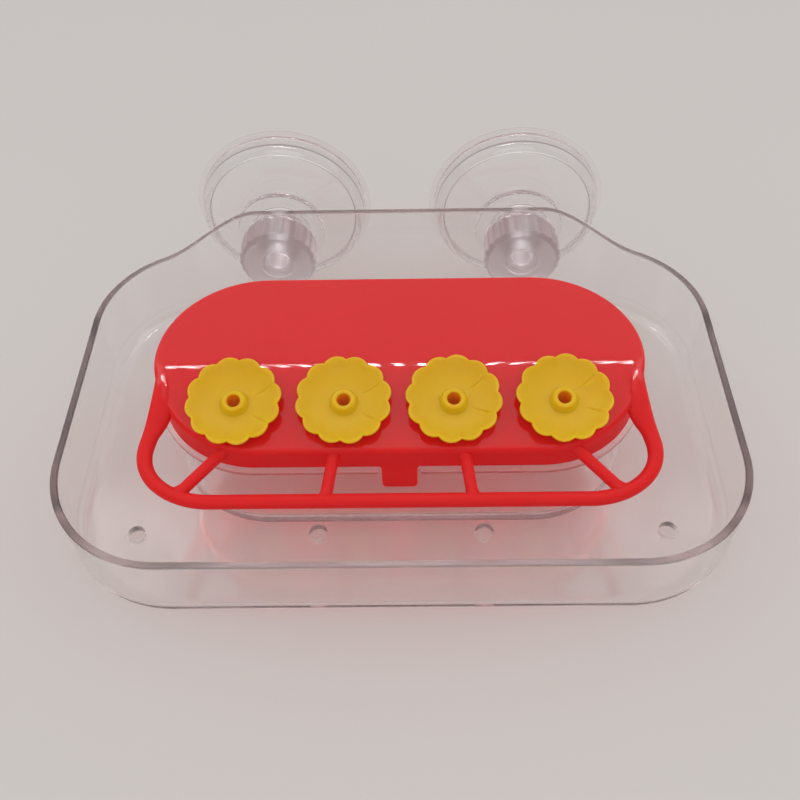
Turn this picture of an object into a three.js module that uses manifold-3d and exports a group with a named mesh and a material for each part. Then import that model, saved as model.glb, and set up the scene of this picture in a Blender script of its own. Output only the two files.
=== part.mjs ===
// Window hummingbird feeder: a clear tray that hangs on a pane by two suction cups, holding a
// clear nectar cup with a red lid, a perch and four yellow flower-shaped feeding ports.
// Millimetres, +Z up, +Y towards the window pane. The origin is the middle of the tray's underside.

import * as THREE from 'three';
import { mergeVertices } from 'three/addons/utils/BufferGeometryUtils.js';
import Module from 'manifold-3d';

const wasm = await Module();
wasm.setup();

// Driving dimensions

const seatGap = 0.3;              // clearance between pieces that touch or slide on each other
const overcut = 1;                // how far a cutter reaches past what it cuts
const weldDistance = 1e-4;        // corners of one solid that are closer than this are one corner

// Tray
const trayWidth = 180;            // across the rim
const trayDepth = 114;            // front to back at the rim
const rimHeight = 25;             // front and side walls
const backHeight = 40;            // raised back wall that carries the suction cups
const backTopWidth = 86;          // level part of the raised back wall
const backFootWidth = 147;        // where the raised back wall has come down to the rim
const trayWall = 2;
const trayFloor = 2.2;
const trayDraft = 0.5;            // how far the rim leans out past the base at the front and sides
const trayEdgeRound = 5.3;        // rounded edge under the walls
const trayFillet = 5;             // round between the walls and the floor, inside
const frontCorner = 32;           // corner radius of the rim at the front
const backCorner = 31;            // corner radius of the rim at the back
const drainDiameter = 5;
const drainInnerSpan = 45;        // between the two inner drain holes
const drainOuterSpan = 144;       // between the two outer drain holes
const drainRowY = -33;

// Suction cups, their threaded studs and their nuts
const cupSpan = 74;               // between the two axes
const cupHeight = 28;             // axes above the tray's underside
const cupLipDiameter = 55;
const cupBeadDiameter = 50.8;     // thick ring just inside the lip
const cupBeadWidth = 3;
const cupBeadCrown = 1.2;         // flat top of the bead
const cupBeadRise = 0.4;          // bead above the cup's cone
const cupConeRise = 5.6;          // outer edge of the cone above the lip
const cupLipThickness = 1;
const cupSealWidth = 3.1;         // flat ring of the lip that meets the pane
const cupLength = 18;             // wall to pane
const cupHollow = 8.2;            // depth of the dish that faces the pane
const collarDiameter = 26.8;
const collarLength = 1.6;
const neckDiameter = 19;
const neckLength = 4.4;           // wall to collar
const studDiameter = 7;           // over the thread
const threadPitch = 2;
const threadDepth = 0.5;
const threadCrest = 0.3;          // flat top of the thread
const studHeadDiameter = 13;
const studHeadLength = 2;
const studHeadDepth = 3;          // how far the head sits inside the neck
const studSetBack = 1.5;          // stud end behind the nut's front face
const nutDiameter = 23.2;
const nutLength = 9;
const nutChamfer = 1.3;
const nutRidges = 24;
const nutRidgeDepth = 0.7;

// Nectar cup and lid share one stadium outline, the lid's
const lidWidth = 125.8;
const lidDepth = 55;
const feederY = -4.4;             // middle of the lid, front to back
const lidWall = 1.6;
const lidRoof = 2;
const lidTop = 43.4;              // level back half of the lid
const creaseY = -8;               // where the level part turns into the ramp
const creaseRound = 4;
const rampAngle = 15;             // degrees
const skirtBottom = 29.8;
const tabWidth = 9.2;             // finger tab in the middle of the skirt
const tabThickness = 1.6;
const tabProud = 0.8;             // how far the tab stands in front of the skirt
const tabDrop = 8;                // tab below the skirt
const tabRoot = 1.8;              // tab above the skirt's lower edge
const nectarWall = 1.8;
const nectarFloor = 2;
const nectarDraft = 0.4;
const nectarInset = 1.2;          // body of the nectar cup inside the lid's outline, under the ledge
const nectarEdgeRound = 1.3;
const nectarFillet = 1.8;         // round between its wall and its floor, inside
const ledgeReach = 0.8;           // ledge under the skirt, past the lid's outline
const ledgeThickness = 1.2;
const neckRise = 3.6;             // nectar cup's neck above the ledge, inside the skirt

// Perch
const perchBar = 3.6;
const perchSpoke = 3;
const perchOverhang = 1.5;        // past the lid's sides
const perchReach = 12.6;          // past the lid's front edge
const perchCorner = 15;
const perchDrop = 2.4;            // middle of the bar under the plane of the ramp
const straightSpokeSpan = 32.2;   // between the two straight spokes, at the lid
const straightSpokeSplay = 1.8;   // how far each leans out towards the bar
const diagonalSpokeSpan = 86;     // between the two diagonal spokes, at the lid
const diagonalSpokeSplay = 11;
const diagonalSpokeRise = 1.5;    // its tip behind the middle of the bar

// Flowers
const flowerDiameter = 24;
const flowerPitch = 27.25;
const flowerCount = 4;
const flowerY = -19.6;            // middle of the flowers on the ramp
const petalCount = 12;
const petalNotch = 1;
const petalThickness = 1.1;
const petalRise = 3.4;            // petal tips above the ramp
const flowerFoot = 11;            // flat underside of the dish
const bowlDiameter = 17.3;        // where the dish turns up into the petals
const tubeBase = 6.9;             // raised feeding tube in the middle
const tubeTop = 4.8;
const tubeRise = 3;
const feedingHole = 3.3;
const stemDiameter = 7.6;         // plug that goes through the lid
const stemReach = 4;              // plug below the lid's roof

// Facets
const cornerSteps = 5;
const curveSegments = 10;
const roundSteps = 3;
const cupFacets = 36;
const dishSteps = 4;
const studFacets = 20;
const threadFacets = 10;
const ridgeFacets = 4;
const drainFacets = 12;
const petalFacets = 4;
const barFacets = 10;
const barSteps = 56;

// Worked-out places

const backFace = trayDepth / 2;
const lidFront = feederY - lidDepth / 2;
const slope = THREE.MathUtils.degToRad(rampAngle);
const ledgeTop = skirtBottom - seatGap;
const nectarBottom = trayFloor + seatGap;
const sides = { left: -1, right: 1 };

function rampHeight(y) {
  return lidTop - (creaseY - y) * Math.tan(slope);
}

// Helpers for solids

function solid(geometry) {
  const bare = geometry.index ? geometry.toNonIndexed() : geometry.clone();
  bare.deleteAttribute('normal');
  bare.deleteAttribute('uv');
  const merged = mergeVertices(bare, weldDistance);
  const mesh = new wasm.Mesh({
    numProp: 3,
    vertProperties: new Float32Array(merged.attributes.position.array),
    triVerts: new Uint32Array(merged.index.array),
  });
  return new wasm.Manifold(mesh);
}

function shell(manifold) {
  const mesh = manifold.getMesh();
  const geometry = new THREE.BufferGeometry();
  geometry.setAttribute('position', new THREE.BufferAttribute(mesh.vertProperties, 3));
  geometry.setIndex(new THREE.BufferAttribute(mesh.triVerts, 1));
  geometry.computeVertexNormals();
  return geometry;
}

// A closed solid through rings that all have the same number of points, capped by a flat outline.
function skin(rings, cap) {
  const count = cap.length;
  const positions = rings.flatMap((ring) => ring.flatMap((p) => [p.x, p.y, p.z]));
  const faces = [];
  for (let level = 0; level + 1 < rings.length; level += 1) {
    for (let i = 0; i < count; i += 1) {
      const a = level * count + i;
      const b = level * count + ((i + 1) % count);
      faces.push(a, b, b + count, a, b + count, a + count);
    }
  }
  const top = (rings.length - 1) * count;
  for (const [a, b, c] of THREE.ShapeUtils.triangulateShape(cap, [])) {
    faces.push(a, c, b, top + a, top + b, top + c);
  }
  const geometry = new THREE.BufferGeometry();
  geometry.setAttribute('position', new THREE.Float32BufferAttribute(positions, 3));
  geometry.setIndex(faces);
  return geometry;
}

// A closed solid through level outlines.
function loft(levels) {
  const rings = levels.map(({ outline, z }) => outline.map((p) => new THREE.Vector3(p.x, p.y, z)));
  return skin(rings, levels[0].outline);
}

// Levels of a rounded lower edge: how far each one lies inside the wall, and its height.
function roundedEdge(radius, base) {
  return Array.from({ length: roundSteps + 1 }, (_, i) => {
    const turn = (i / roundSteps) * (Math.PI / 2);
    return { inset: radius * (1 - Math.sin(turn)), z: base + radius * (1 - Math.cos(turn)) };
  });
}

// A flat profile drawn in Y and Z, extruded along X about the middle.
function acrossX(shape, width) {
  const geometry = new THREE.ExtrudeGeometry(shape, { depth: width, bevelEnabled: false, curveSegments });
  geometry.translate(0, 0, -width / 2);
  const turn = new THREE.Matrix4().makeBasis(
    new THREE.Vector3(0, 1, 0), new THREE.Vector3(0, 0, 1), new THREE.Vector3(1, 0, 0),
  );
  return geometry.applyMatrix4(turn);
}

// A flat profile drawn in X and Z, extruded along Y from one place to another.
function alongY(shape, from, to) {
  const depth = to - from;
  const geometry = new THREE.ExtrudeGeometry(shape, { depth, bevelEnabled: false, curveSegments });
  return geometry.rotateX(Math.PI / 2).translate(0, to, 0);
}

function block(xRange, yRange, zRange) {
  const ranges = [xRange, yRange, zRange];
  const sizes = ranges.map(([low, high]) => high - low);
  const middles = ranges.map(([low, high]) => (low + high) / 2);
  return new THREE.BoxGeometry(...sizes).translate(...middles);
}

// A round cutter along the Y axis, centred on the origin.
function drill(radius, length, facets) {
  return new THREE.CylinderGeometry(radius, radius, length, facets);
}

function rod(from, to, radius, facets) {
  const path = new THREE.LineCurve3(from, to);
  const section = new THREE.Shape().absarc(0, 0, radius, 0, Math.PI * 2);
  const round = new THREE.Shape(section.getSpacedPoints(facets).slice(0, facets));
  return new THREE.ExtrudeGeometry(round, { steps: 1, extrudePath: path });
}

// Outlines

// The tray's outline at a height, drawn in by an inset. The back wall stands upright.
function trayOutline(z, inset) {
  const lean = trayDraft * (1 - z / rimHeight) + inset;
  const right = trayWidth / 2 - lean;
  const front = -trayDepth / 2 + lean;
  const back = backFace - inset;
  const near = frontCorner - lean;
  const far = backCorner - lean;
  const outline = new THREE.Shape();
  outline.absarc(right - near, front + near, near, -Math.PI / 2, 0);
  outline.absarc(right - far, back - far, far, 0, Math.PI / 2);
  outline.absarc(far - right, back - far, far, Math.PI / 2, Math.PI);
  outline.absarc(near - right, front + near, near, Math.PI, Math.PI * 1.5);
  return outline.getPoints(cornerSteps);
}

// The lid's stadium outline, grown by an offset.
function stadium(offset) {
  const radius = lidDepth / 2 + offset;
  const middle = lidWidth / 2 - lidDepth / 2;
  const outline = new THREE.Shape();
  outline.absarc(middle, feederY, radius, -Math.PI / 2, Math.PI / 2);
  outline.absarc(-middle, feederY, radius, Math.PI / 2, Math.PI * 1.5);
  return outline.getPoints(cornerSteps * 2);
}

// Tray

function backWallCut() {
  const far = trayWidth;
  const foot = backFootWidth / 2;
  const top = backTopWidth / 2;
  const third = (foot - top) / 3;
  const above = new THREE.Shape();
  above.moveTo(-far, rimHeight);
  above.lineTo(-foot, rimHeight);
  above.bezierCurveTo(-foot + third, rimHeight, -top - third, backHeight, -top, backHeight);
  above.lineTo(top, backHeight);
  above.bezierCurveTo(top + third, backHeight, foot - third, rimHeight, foot, rimHeight);
  above.lineTo(far, rimHeight);
  above.lineTo(far, backHeight * 2);
  above.lineTo(-far, backHeight * 2);
  return alongY(above, 0, trayDepth);
}

function tray() {
  const overTop = backHeight + trayWall;
  const outside = roundedEdge(trayEdgeRound, 0).concat({ inset: 0, z: overTop });
  const inside = roundedEdge(trayFillet, trayFloor).concat({ inset: 0, z: overTop + overcut });
  const outer = loft(outside.map(({ inset, z }) => ({ outline: trayOutline(z, inset), z })));
  const inner = loft(inside.map(({ inset, z }) => ({ outline: trayOutline(z, inset + trayWall), z })));
  const overRim = block([-trayWidth, trayWidth], [-trayDepth, 0], [rimHeight, overTop + overcut]);
  let body = solid(outer).subtract(solid(inner)).subtract(solid(overRim)).subtract(solid(backWallCut()));
  const drain = drill(drainDiameter / 2, 2 * (trayFloor + overcut), drainFacets).rotateX(Math.PI / 2);
  for (const span of [drainInnerSpan, drainOuterSpan]) {
    for (const side of Object.values(sides)) {
      body = body.subtract(solid(drain.clone().translate((side * span) / 2, drainRowY, 0)));
    }
  }
  const studHole = drill(studDiameter / 2 + seatGap, 2 * (trayWall + overcut), studFacets);
  for (const side of Object.values(sides)) {
    body = body.subtract(solid(studHole.clone().translate((side * cupSpan) / 2, backFace, cupHeight)));
  }
  return shell(body);
}

// Suction cup, stud and nut, each about the Y axis with the wall's outer face at 0

function suctionCup() {
  const neck = neckDiameter / 2;
  const collar = collarDiameter / 2;
  const lip = cupLipDiameter / 2;
  const bead = cupBeadDiameter / 2;
  const beadMiddle = bead - cupBeadWidth / 2;
  const bore = studDiameter / 2 + seatGap;
  const pocket = studHeadDiameter / 2 + seatGap;
  const pocketEnd = seatGap + studHeadDepth + studHeadLength + seatGap * 2;
  const collarEnd = neckLength + collarLength;
  const lipBack = cupLength - cupLipThickness;
  const coneEnd = lipBack - cupConeRise;
  const seal = lip - cupSealWidth;
  const dish = Array.from({ length: dishSteps + 1 }, (_, i) => {
    const turn = (i / dishSteps) * (Math.PI / 2);
    return [i < dishSteps ? seal * Math.cos(turn) : 0, cupLength - cupHollow * Math.sin(turn)];
  });
  const profile = [
    [0, pocketEnd],
    [pocket, pocketEnd],
    [pocket, seatGap + studHeadDepth],
    [bore, seatGap + studHeadDepth],
    [bore, seatGap],
    [neck, seatGap],
    [neck, neckLength],
    [collar, neckLength],
    [collar, collarEnd],
    [bead - cupBeadWidth, coneEnd],
    [beadMiddle - cupBeadCrown / 2, coneEnd - cupBeadRise],
    [beadMiddle + cupBeadCrown / 2, coneEnd - cupBeadRise],
    [bead, lipBack - cupLipThickness],
    [lip, lipBack],
    [lip, cupLength],
    ...dish,
  ];
  return new THREE.LatheGeometry(profile.map(([r, y]) => new THREE.Vector2(r, y)), cupFacets);
}

const nutFront = -(trayWall + seatGap + nutLength);
const studEnd = nutFront + studSetBack;

function stud() {
  const core = studDiameter / 2 - threadDepth;
  const head = studHeadDiameter / 2;
  const headFront = seatGap * 2 + studHeadDepth;
  const profile = [
    [0, studEnd],
    [core - threadDepth, studEnd],
    [core, studEnd + threadDepth],
    [core, headFront],
    [head, headFront],
    [head, headFront + studHeadLength],
    [0, headFront + studHeadLength],
  ];
  const body = new THREE.LatheGeometry(profile.map(([r, y]) => new THREE.Vector2(r, y)), studFacets);
  const half = threadPitch / 4;
  const ridge = [
    new THREE.Vector2(-threadDepth, -half),
    new THREE.Vector2(threadDepth, -threadCrest / 2),
    new THREE.Vector2(threadDepth, threadCrest / 2),
    new THREE.Vector2(-threadDepth, half),
  ];
  const from = studEnd + threadPitch / 2;
  const to = headFront - threadPitch;
  const steps = Math.round(((to - from) / threadPitch) * threadFacets);
  const rings = Array.from({ length: steps + 1 }, (_, i) => {
    const y = to + ((from - to) * i) / steps;
    const turn = (-y / threadPitch) * Math.PI * 2;
    return ridge.map((p) => {
      const radius = core + p.x;
      return new THREE.Vector3(radius * Math.cos(turn), y + p.y, radius * Math.sin(turn));
    });
  });
  return shell(solid(body).add(solid(skin(rings, ridge))));
}

function nut() {
  const outline = (radius) => {
    const points = [];
    const count = nutRidges * ridgeFacets;
    for (let i = 0; i < count; i += 1) {
      const turn = (i / count) * Math.PI * 2;
      const r = i % ridgeFacets < ridgeFacets / 2 ? radius : radius - nutRidgeDepth;
      points.push(new THREE.Vector2(r * Math.cos(turn), r * Math.sin(turn)));
    }
    return points;
  };
  const full = outline(nutDiameter / 2);
  const body = loft([
    { outline: outline(nutDiameter / 2 - nutChamfer), z: 0 },
    { outline: full, z: nutChamfer },
    { outline: full, z: nutLength },
  ]);
  body.rotateX(-Math.PI / 2).translate(0, nutFront, 0);
  const hole = drill(studDiameter / 2 + seatGap, 2 * (overcut - nutFront), studFacets);
  return shell(solid(body).subtract(solid(hole)));
}

// Nectar cup

function nectarCup() {
  const ledgeBottom = ledgeTop - ledgeThickness;
  const foot = -nectarInset - nectarDraft;
  const neck = -lidWall - seatGap;
  const rimTop = ledgeTop + neckRise;
  const body = roundedEdge(nectarEdgeRound, nectarBottom)
    .map(({ inset, z }) => ({ outline: stadium(foot - inset), z }));
  body.push({ outline: stadium(-nectarInset), z: ledgeBottom + ledgeThickness / 2 });
  const ledge = [ledgeBottom, ledgeTop].map((z) => ({ outline: stadium(ledgeReach), z }));
  const collar = [ledgeBottom, rimTop].map((z) => ({ outline: stadium(neck), z }));
  const inside = roundedEdge(nectarFillet, nectarBottom + nectarFloor)
    .map(({ inset, z }) => ({ outline: stadium(foot - nectarWall - inset), z }));
  inside.push({ outline: stadium(neck - nectarWall), z: rimTop + overcut });
  const notchHalf = tabWidth / 2 + seatGap * 2;
  const notch = block(
    [-notchHalf, notchHalf],
    [lidFront - tabProud - ledgeReach, lidFront + nectarInset - seatGap],
    [ledgeBottom - overcut, ledgeTop + overcut],
  );
  const whole = solid(loft(body)).add(solid(loft(ledge))).add(solid(loft(collar)));
  return shell(whole.subtract(solid(loft(inside))).subtract(solid(notch)));
}

// Lid with perch

// Everything under the lid's roof line, lowered by a depth measured square to each face.
function underRoof(depth) {
  const reach = lidDepth + perchReach;
  const top = lidTop - depth;
  const bend = creaseY - depth * Math.tan(slope / 2);
  const front = feederY - reach;
  const shape = new THREE.Shape();
  shape.moveTo(feederY + reach, 0);
  shape.lineTo(feederY + reach, top);
  shape.lineTo(bend + creaseRound, top);
  const [alongRamp, downRamp] = [creaseRound * Math.cos(slope), creaseRound * Math.sin(slope)];
  shape.quadraticCurveTo(bend, top, bend - alongRamp, top - downRamp);
  shape.lineTo(front, top - (bend - front) * Math.tan(slope));
  shape.lineTo(front, 0);
  return acrossX(shape, lidWidth * 2);
}

function onPerch(x, y) {
  return new THREE.Vector3(x, y, rampHeight(y) - perchDrop);
}

function perch() {
  const bar = perchBar / 2;
  const sideX = lidWidth / 2 + perchOverhang - bar;
  const barY = lidFront - perchReach + bar;
  const rootX = lidWidth / 2 - bar - seatGap;
  const rootY = creaseY - bar;
  const path = new THREE.CurvePath();
  const bendY = barY + perchCorner;
  path.add(new THREE.LineCurve3(onPerch(-rootX, rootY), onPerch(-sideX, bendY)));
  path.add(new THREE.QuadraticBezierCurve3(
    onPerch(-sideX, bendY), onPerch(-sideX, barY), onPerch(perchCorner - sideX, barY),
  ));
  path.add(new THREE.LineCurve3(onPerch(perchCorner - sideX, barY), onPerch(sideX - perchCorner, barY)));
  path.add(new THREE.QuadraticBezierCurve3(
    onPerch(sideX - perchCorner, barY), onPerch(sideX, barY), onPerch(sideX, bendY),
  ));
  path.add(new THREE.LineCurve3(onPerch(sideX, bendY), onPerch(rootX, rootY)));
  const ring = new THREE.Shape().absarc(0, 0, bar, 0, Math.PI * 2);
  const section = new THREE.Shape(ring.getSpacedPoints(barFacets).slice(0, barFacets));
  let body = solid(new THREE.ExtrudeGeometry(section, { steps: barSteps, extrudePath: path }));
  const frontAt = (x) => {
    const past = Math.max(0, Math.abs(x) - (lidWidth - lidDepth) / 2);
    return feederY - Math.sqrt((lidDepth / 2) ** 2 - past ** 2);
  };
  const spokes = [
    { x: straightSpokeSpan / 2, splay: straightSpokeSplay, end: barY },
    { x: diagonalSpokeSpan / 2, splay: diagonalSpokeSplay, end: barY + diagonalSpokeRise },
  ];
  for (const side of Object.values(sides)) {
    for (const { x, splay, end } of spokes) {
      const root = onPerch(side * x, frontAt(x) + lidWall / 2);
      const tip = onPerch(side * (x + splay), end);
      body = body.add(solid(rod(root, tip, perchSpoke / 2, barFacets)));
    }
  }
  return body;
}

function flowerPlaces() {
  return Array.from({ length: flowerCount }, (_, i) => {
    const x = (i - (flowerCount - 1) / 2) * flowerPitch;
    return new THREE.Vector3(x, flowerY, rampHeight(flowerY));
  });
}

function lidWithPerch() {
  const above = lidTop + overcut;
  const prism = (offset, from) => loft([from, above].map((z) => ({ outline: stadium(offset), z })));
  const outer = solid(prism(0, skirtBottom)).intersect(solid(underRoof(0)));
  const hollow = solid(prism(-lidWall, skirtBottom - tabDrop - overcut)).intersect(solid(underRoof(lidRoof)));
  const tabFront = lidFront - tabProud;
  const tab = block(
    [-tabWidth / 2, tabWidth / 2],
    [tabFront, tabFront + tabThickness],
    [skirtBottom - tabDrop, skirtBottom + tabRoot],
  );
  let body = outer.add(perch()).subtract(hollow).add(solid(tab));
  for (const place of flowerPlaces()) {
    const hole = drill(stemDiameter / 2 + seatGap, 2 * (lidRoof + overcut), studFacets);
    hole.rotateX(Math.PI / 2 + slope).translate(place.x, place.y, place.z);
    body = body.subtract(solid(hole));
  }
  return shell(body);
}

// Flower, about its own Z axis, with the surface of the ramp at 0

function flower() {
  const tip = flowerDiameter / 2;
  const bowl = bowlDiameter / 2;
  const bowlUnder = (seatGap + petalRise - petalThickness) / 2;
  const hole = feedingHole / 2;
  const stem = stemDiameter / 2;
  const stemEnd = -(lidRoof + stemReach);
  const profile = [
    [hole, stemEnd],
    [stem, stemEnd],
    [stem, seatGap],
    [flowerFoot / 2, seatGap],
    [bowl, bowlUnder],
    [tip, petalRise - petalThickness],
    [tip, petalRise],
    [bowl, bowlUnder + petalThickness],
    [tubeBase / 2, seatGap + petalThickness],
    [tubeTop / 2, tubeRise],
    [hole, tubeRise],
    [hole, stemEnd],
  ];
  const points = profile.map(([r, y]) => new THREE.Vector2(r, y));
  const geometry = new THREE.LatheGeometry(points, petalCount * petalFacets);
  const root = flowerFoot / 2;
  const place = new THREE.Vector3();
  const { position } = geometry.attributes;
  for (let i = 0; i < position.count; i += 1) {
    place.fromBufferAttribute(position, i);
    const radius = Math.hypot(place.x, place.z);
    if (radius > root) {
      const share = (Math.atan2(place.x, place.z) / (Math.PI * 2)) * petalCount;
      const across = 1 - 2 * Math.abs(share - Math.round(share));
      const notch = petalNotch * (1 - Math.sqrt(Math.max(0, 1 - across ** 2)));
      const drawnIn = 1 - (notch * (radius - root)) / (tip - root) / radius;
      position.setXYZ(i, place.x * drawnIn, place.y, place.z * drawnIn);
    }
  }
  return geometry.rotateX(Math.PI / 2);
}

// Assembly

const clearPlastic = { color: 0xdcd6d3, roughness: 0.08, metalness: 0, transparent: true, opacity: 0.35 };
const softVinyl = { color: 0xe2dedc, roughness: 0.2, metalness: 0, transparent: true, opacity: 0.45 };
const redPlastic = { color: 0xd8292c, roughness: 0.3, metalness: 0 };
const yellowPlastic = { color: 0xe5b52c, roughness: 0.55, metalness: 0 };

const feeder = new THREE.Group();

function place(parent, name, geometry, finish) {
  const mesh = new THREE.Mesh(geometry, new THREE.MeshStandardMaterial(finish));
  mesh.name = name;
  parent.add(mesh);
}

place(feeder, 'tray', tray(), clearPlastic);
place(feeder, 'nectar_cup', nectarCup(), clearPlastic);
place(feeder, 'lid_with_perch', lidWithPerch(), redPlastic);

flowerPlaces().forEach((position, i) => {
  const seat = new THREE.Group();
  seat.position.copy(position);
  seat.rotation.x = slope;
  feeder.add(seat);
  place(seat, `flower_${i + 1}`, flower(), yellowPlastic);
});

for (const [name, side] of Object.entries(sides)) {
  const axis = new THREE.Group();
  axis.position.set((side * cupSpan) / 2, backFace, cupHeight);
  feeder.add(axis);
  place(axis, `suction_cup_${name}`, suctionCup(), softVinyl);
  place(axis, `stud_${name}`, stud(), clearPlastic);
  place(axis, `nut_${name}`, nut(), clearPlastic);
}

export default feeder;
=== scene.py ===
# %% [markdown]
# # A window hummingbird feeder, modelled in Blender
# The feeder hangs on a pane by two suction cups. A clear tray carries a clear nectar cup, the cup is
# closed by a red lid with a perch, and four yellow flowers in the lid are the feeding ports.
# The construction model gives every piece its place, so the lesson starts by loading it as a frame.

# %% Load the frame
from math import ceil, cos, hypot, pi, radians, sin, tan

import bmesh
import bpy
from mathutils import Matrix, Vector


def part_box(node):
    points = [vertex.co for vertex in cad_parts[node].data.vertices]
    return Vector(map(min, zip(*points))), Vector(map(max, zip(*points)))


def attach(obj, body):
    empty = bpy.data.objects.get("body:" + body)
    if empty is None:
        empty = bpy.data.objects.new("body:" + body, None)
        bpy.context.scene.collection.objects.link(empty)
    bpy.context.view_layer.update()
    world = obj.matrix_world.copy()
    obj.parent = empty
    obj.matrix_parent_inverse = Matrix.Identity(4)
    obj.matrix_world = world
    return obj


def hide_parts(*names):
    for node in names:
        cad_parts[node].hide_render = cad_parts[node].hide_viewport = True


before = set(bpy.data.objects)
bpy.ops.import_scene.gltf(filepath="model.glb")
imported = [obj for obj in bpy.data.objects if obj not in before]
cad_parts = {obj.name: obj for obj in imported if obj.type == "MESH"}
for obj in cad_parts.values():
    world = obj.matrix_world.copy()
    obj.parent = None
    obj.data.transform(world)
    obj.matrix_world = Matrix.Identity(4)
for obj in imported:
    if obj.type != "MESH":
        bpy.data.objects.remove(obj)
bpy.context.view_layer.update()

mm = 0.001

# %% [markdown]
# ## The camera
# The photograph looks down on the feeder from the front, about fifty degrees above the table.
# A camera could be aimed with a constraint, but a matrix made from the direction of view keeps the
# small lean of the hand-held picture too. The picture is square, 800 pixels a side.

# %% Place the camera
PICTURE_SIDE = 800
FOCAL_PIXELS = 956.8
SENSOR_WIDTH = 36.0
NEAREST_VIEW = 10 * mm
VIEW_TARGET = Vector((-0.4, 15.3, 0.0)) * mm
VIEW_DISTANCE = 291.6 * mm
VIEW_ELEVATION = radians(50.08)
VIEW_YAW = radians(-1.18)
VIEW_ROLL = radians(-1.52)

level = cos(VIEW_ELEVATION)
forward = Vector((sin(VIEW_YAW) * level, cos(VIEW_YAW) * level, -sin(VIEW_ELEVATION)))
level_right = Vector((cos(VIEW_YAW), -sin(VIEW_YAW), 0.0))
level_up = level_right.cross(forward)
right = cos(VIEW_ROLL) * level_right + sin(VIEW_ROLL) * level_up
up = cos(VIEW_ROLL) * level_up - sin(VIEW_ROLL) * level_right
eye = VIEW_TARGET - forward * VIEW_DISTANCE

bpy.ops.object.camera_add()
camera = bpy.context.object
camera.name = "photo_camera"
camera.matrix_world = Matrix.Translation(eye) @ Matrix((right, up, -forward)).transposed().to_4x4()
camera.data.sensor_width = SENSOR_WIDTH
camera.data.lens = SENSOR_WIDTH * FOCAL_PIXELS / PICTURE_SIDE
camera.data.clip_start = NEAREST_VIEW
bpy.context.scene.camera = camera
print("Lens, mm:", round(camera.data.lens, 2), "eye, mm:", [round(v / mm, 1) for v in eye])

# %% [markdown]
# ## Materials from nodes
# Every surface here is a small tree of nodes. It could be wired by hand in the Shader Editor. As a script
# it is easier to read when one helper adds a node and fills its inputs, with values or with links.

# %% Helpers for nodes
def new_material(name):
    """Makes a node material and returns it with its node tree and its main shader."""
    material = bpy.data.materials.new(name)
    material.use_nodes = True
    return material, material.node_tree, material.node_tree.nodes["Principled BSDF"]


def fill(tree, node, inputs):
    """Gives each named input of a node its value, or links it to the socket that it is given."""
    for name, value in inputs.items():
        if isinstance(value, bpy.types.NodeSocket):
            tree.links.new(value, node.inputs[name])
        else:
            node.inputs[name].default_value = value


def add_node(tree, kind, inputs, **settings):
    """Adds a node, sets its options and fills its inputs."""
    node = tree.nodes.new("ShaderNode" + kind)
    for name, value in settings.items():
        setattr(node, name, value)
    fill(tree, node, inputs)
    return node


def noise_on(tree, scale, detail=2.0):
    """A noise pattern in the piece's own coordinates."""
    place = add_node(tree, "TexCoord", {}).outputs["Object"]
    return add_node(tree, "TexNoise", {"Vector": place, "Scale": scale, "Detail": detail}).outputs["Fac"]


def colours_along(tree, factor, stops):
    """A ramp of colours over a pattern. stops gives each place from 0 to 1 its colour."""
    ramp = add_node(tree, "ValToRGB", {"Fac": factor})
    elements = ramp.color_ramp.elements
    while len(elements) < len(stops):
        elements.new(1.0)
    for element, (position, colour) in zip(elements, stops.items()):
        element.position = position
        element.color = (*colour, 1.0)
    return ramp.outputs["Color"]


# %% [markdown]
# ## The table
# The feeder stands on a sheet of pale paper. A very large plane stands for it, a hair under the tray so
# that the two surfaces never share a place. One even grey would do, but paper is never quite even, so
# a slow noise makes its colour drift a little.

# %% Lay the table
TABLE_SIZE = 8.0
TABLE_DROP = 0.2 * mm
TABLE_COLOUR = (0.575, 0.545, 0.528)
TABLE_DRIFT = 0.015
TABLE_CLOUDS = 6.0
TABLE_ROUGHNESS = 0.7


def deselect_all():
    """Leaves edit mode and deselects every object, so that the next operator acts on one piece only."""
    if bpy.context.object and bpy.context.object.mode != "OBJECT":
        bpy.ops.object.mode_set(mode="OBJECT")
    bpy.ops.object.select_all(action="DESELECT")


def paper_finish():
    """Pale paper with a faint cloudiness in its colour."""
    material, tree, shader = new_material("pale_paper")
    darker = [part * (1 - TABLE_DRIFT) for part in TABLE_COLOUR]
    lighter = [part * (1 + TABLE_DRIFT) for part in TABLE_COLOUR]
    tone = colours_along(tree, noise_on(tree, TABLE_CLOUDS), {0.0: darker, 1.0: lighter})
    fill(tree, shader, {"Base Color": tone, "Roughness": TABLE_ROUGHNESS})
    return material


deselect_all()
bpy.ops.mesh.primitive_plane_add(size=TABLE_SIZE, location=(0.0, 0.0, -TABLE_DROP))
table = bpy.context.object
table.name = "table"
table.data.materials.append(paper_finish())
print("Table side, m:", TABLE_SIZE)

# %% [markdown]
# ## The light
# A pale room lights the feeder from all round, and a brighter panel in its ceiling gives the red lid its
# sheen. A picture of a room could be wrapped round the scene, but a ramp over the direction is enough
# and needs no file.

# %% Light the room
PANEL_ELEVATION = radians(74)
ROOM_SHADES = {
    0.2: (0.645, 0.633, 0.625),
    0.9: (0.745, 0.735, 0.73),
    0.97: (0.77, 0.757, 0.75),
    0.992: (1.02, 1.0, 0.995),
}
LIGHT_BOUNCES = 32
CLEAR_BOUNCES = 16


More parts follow.
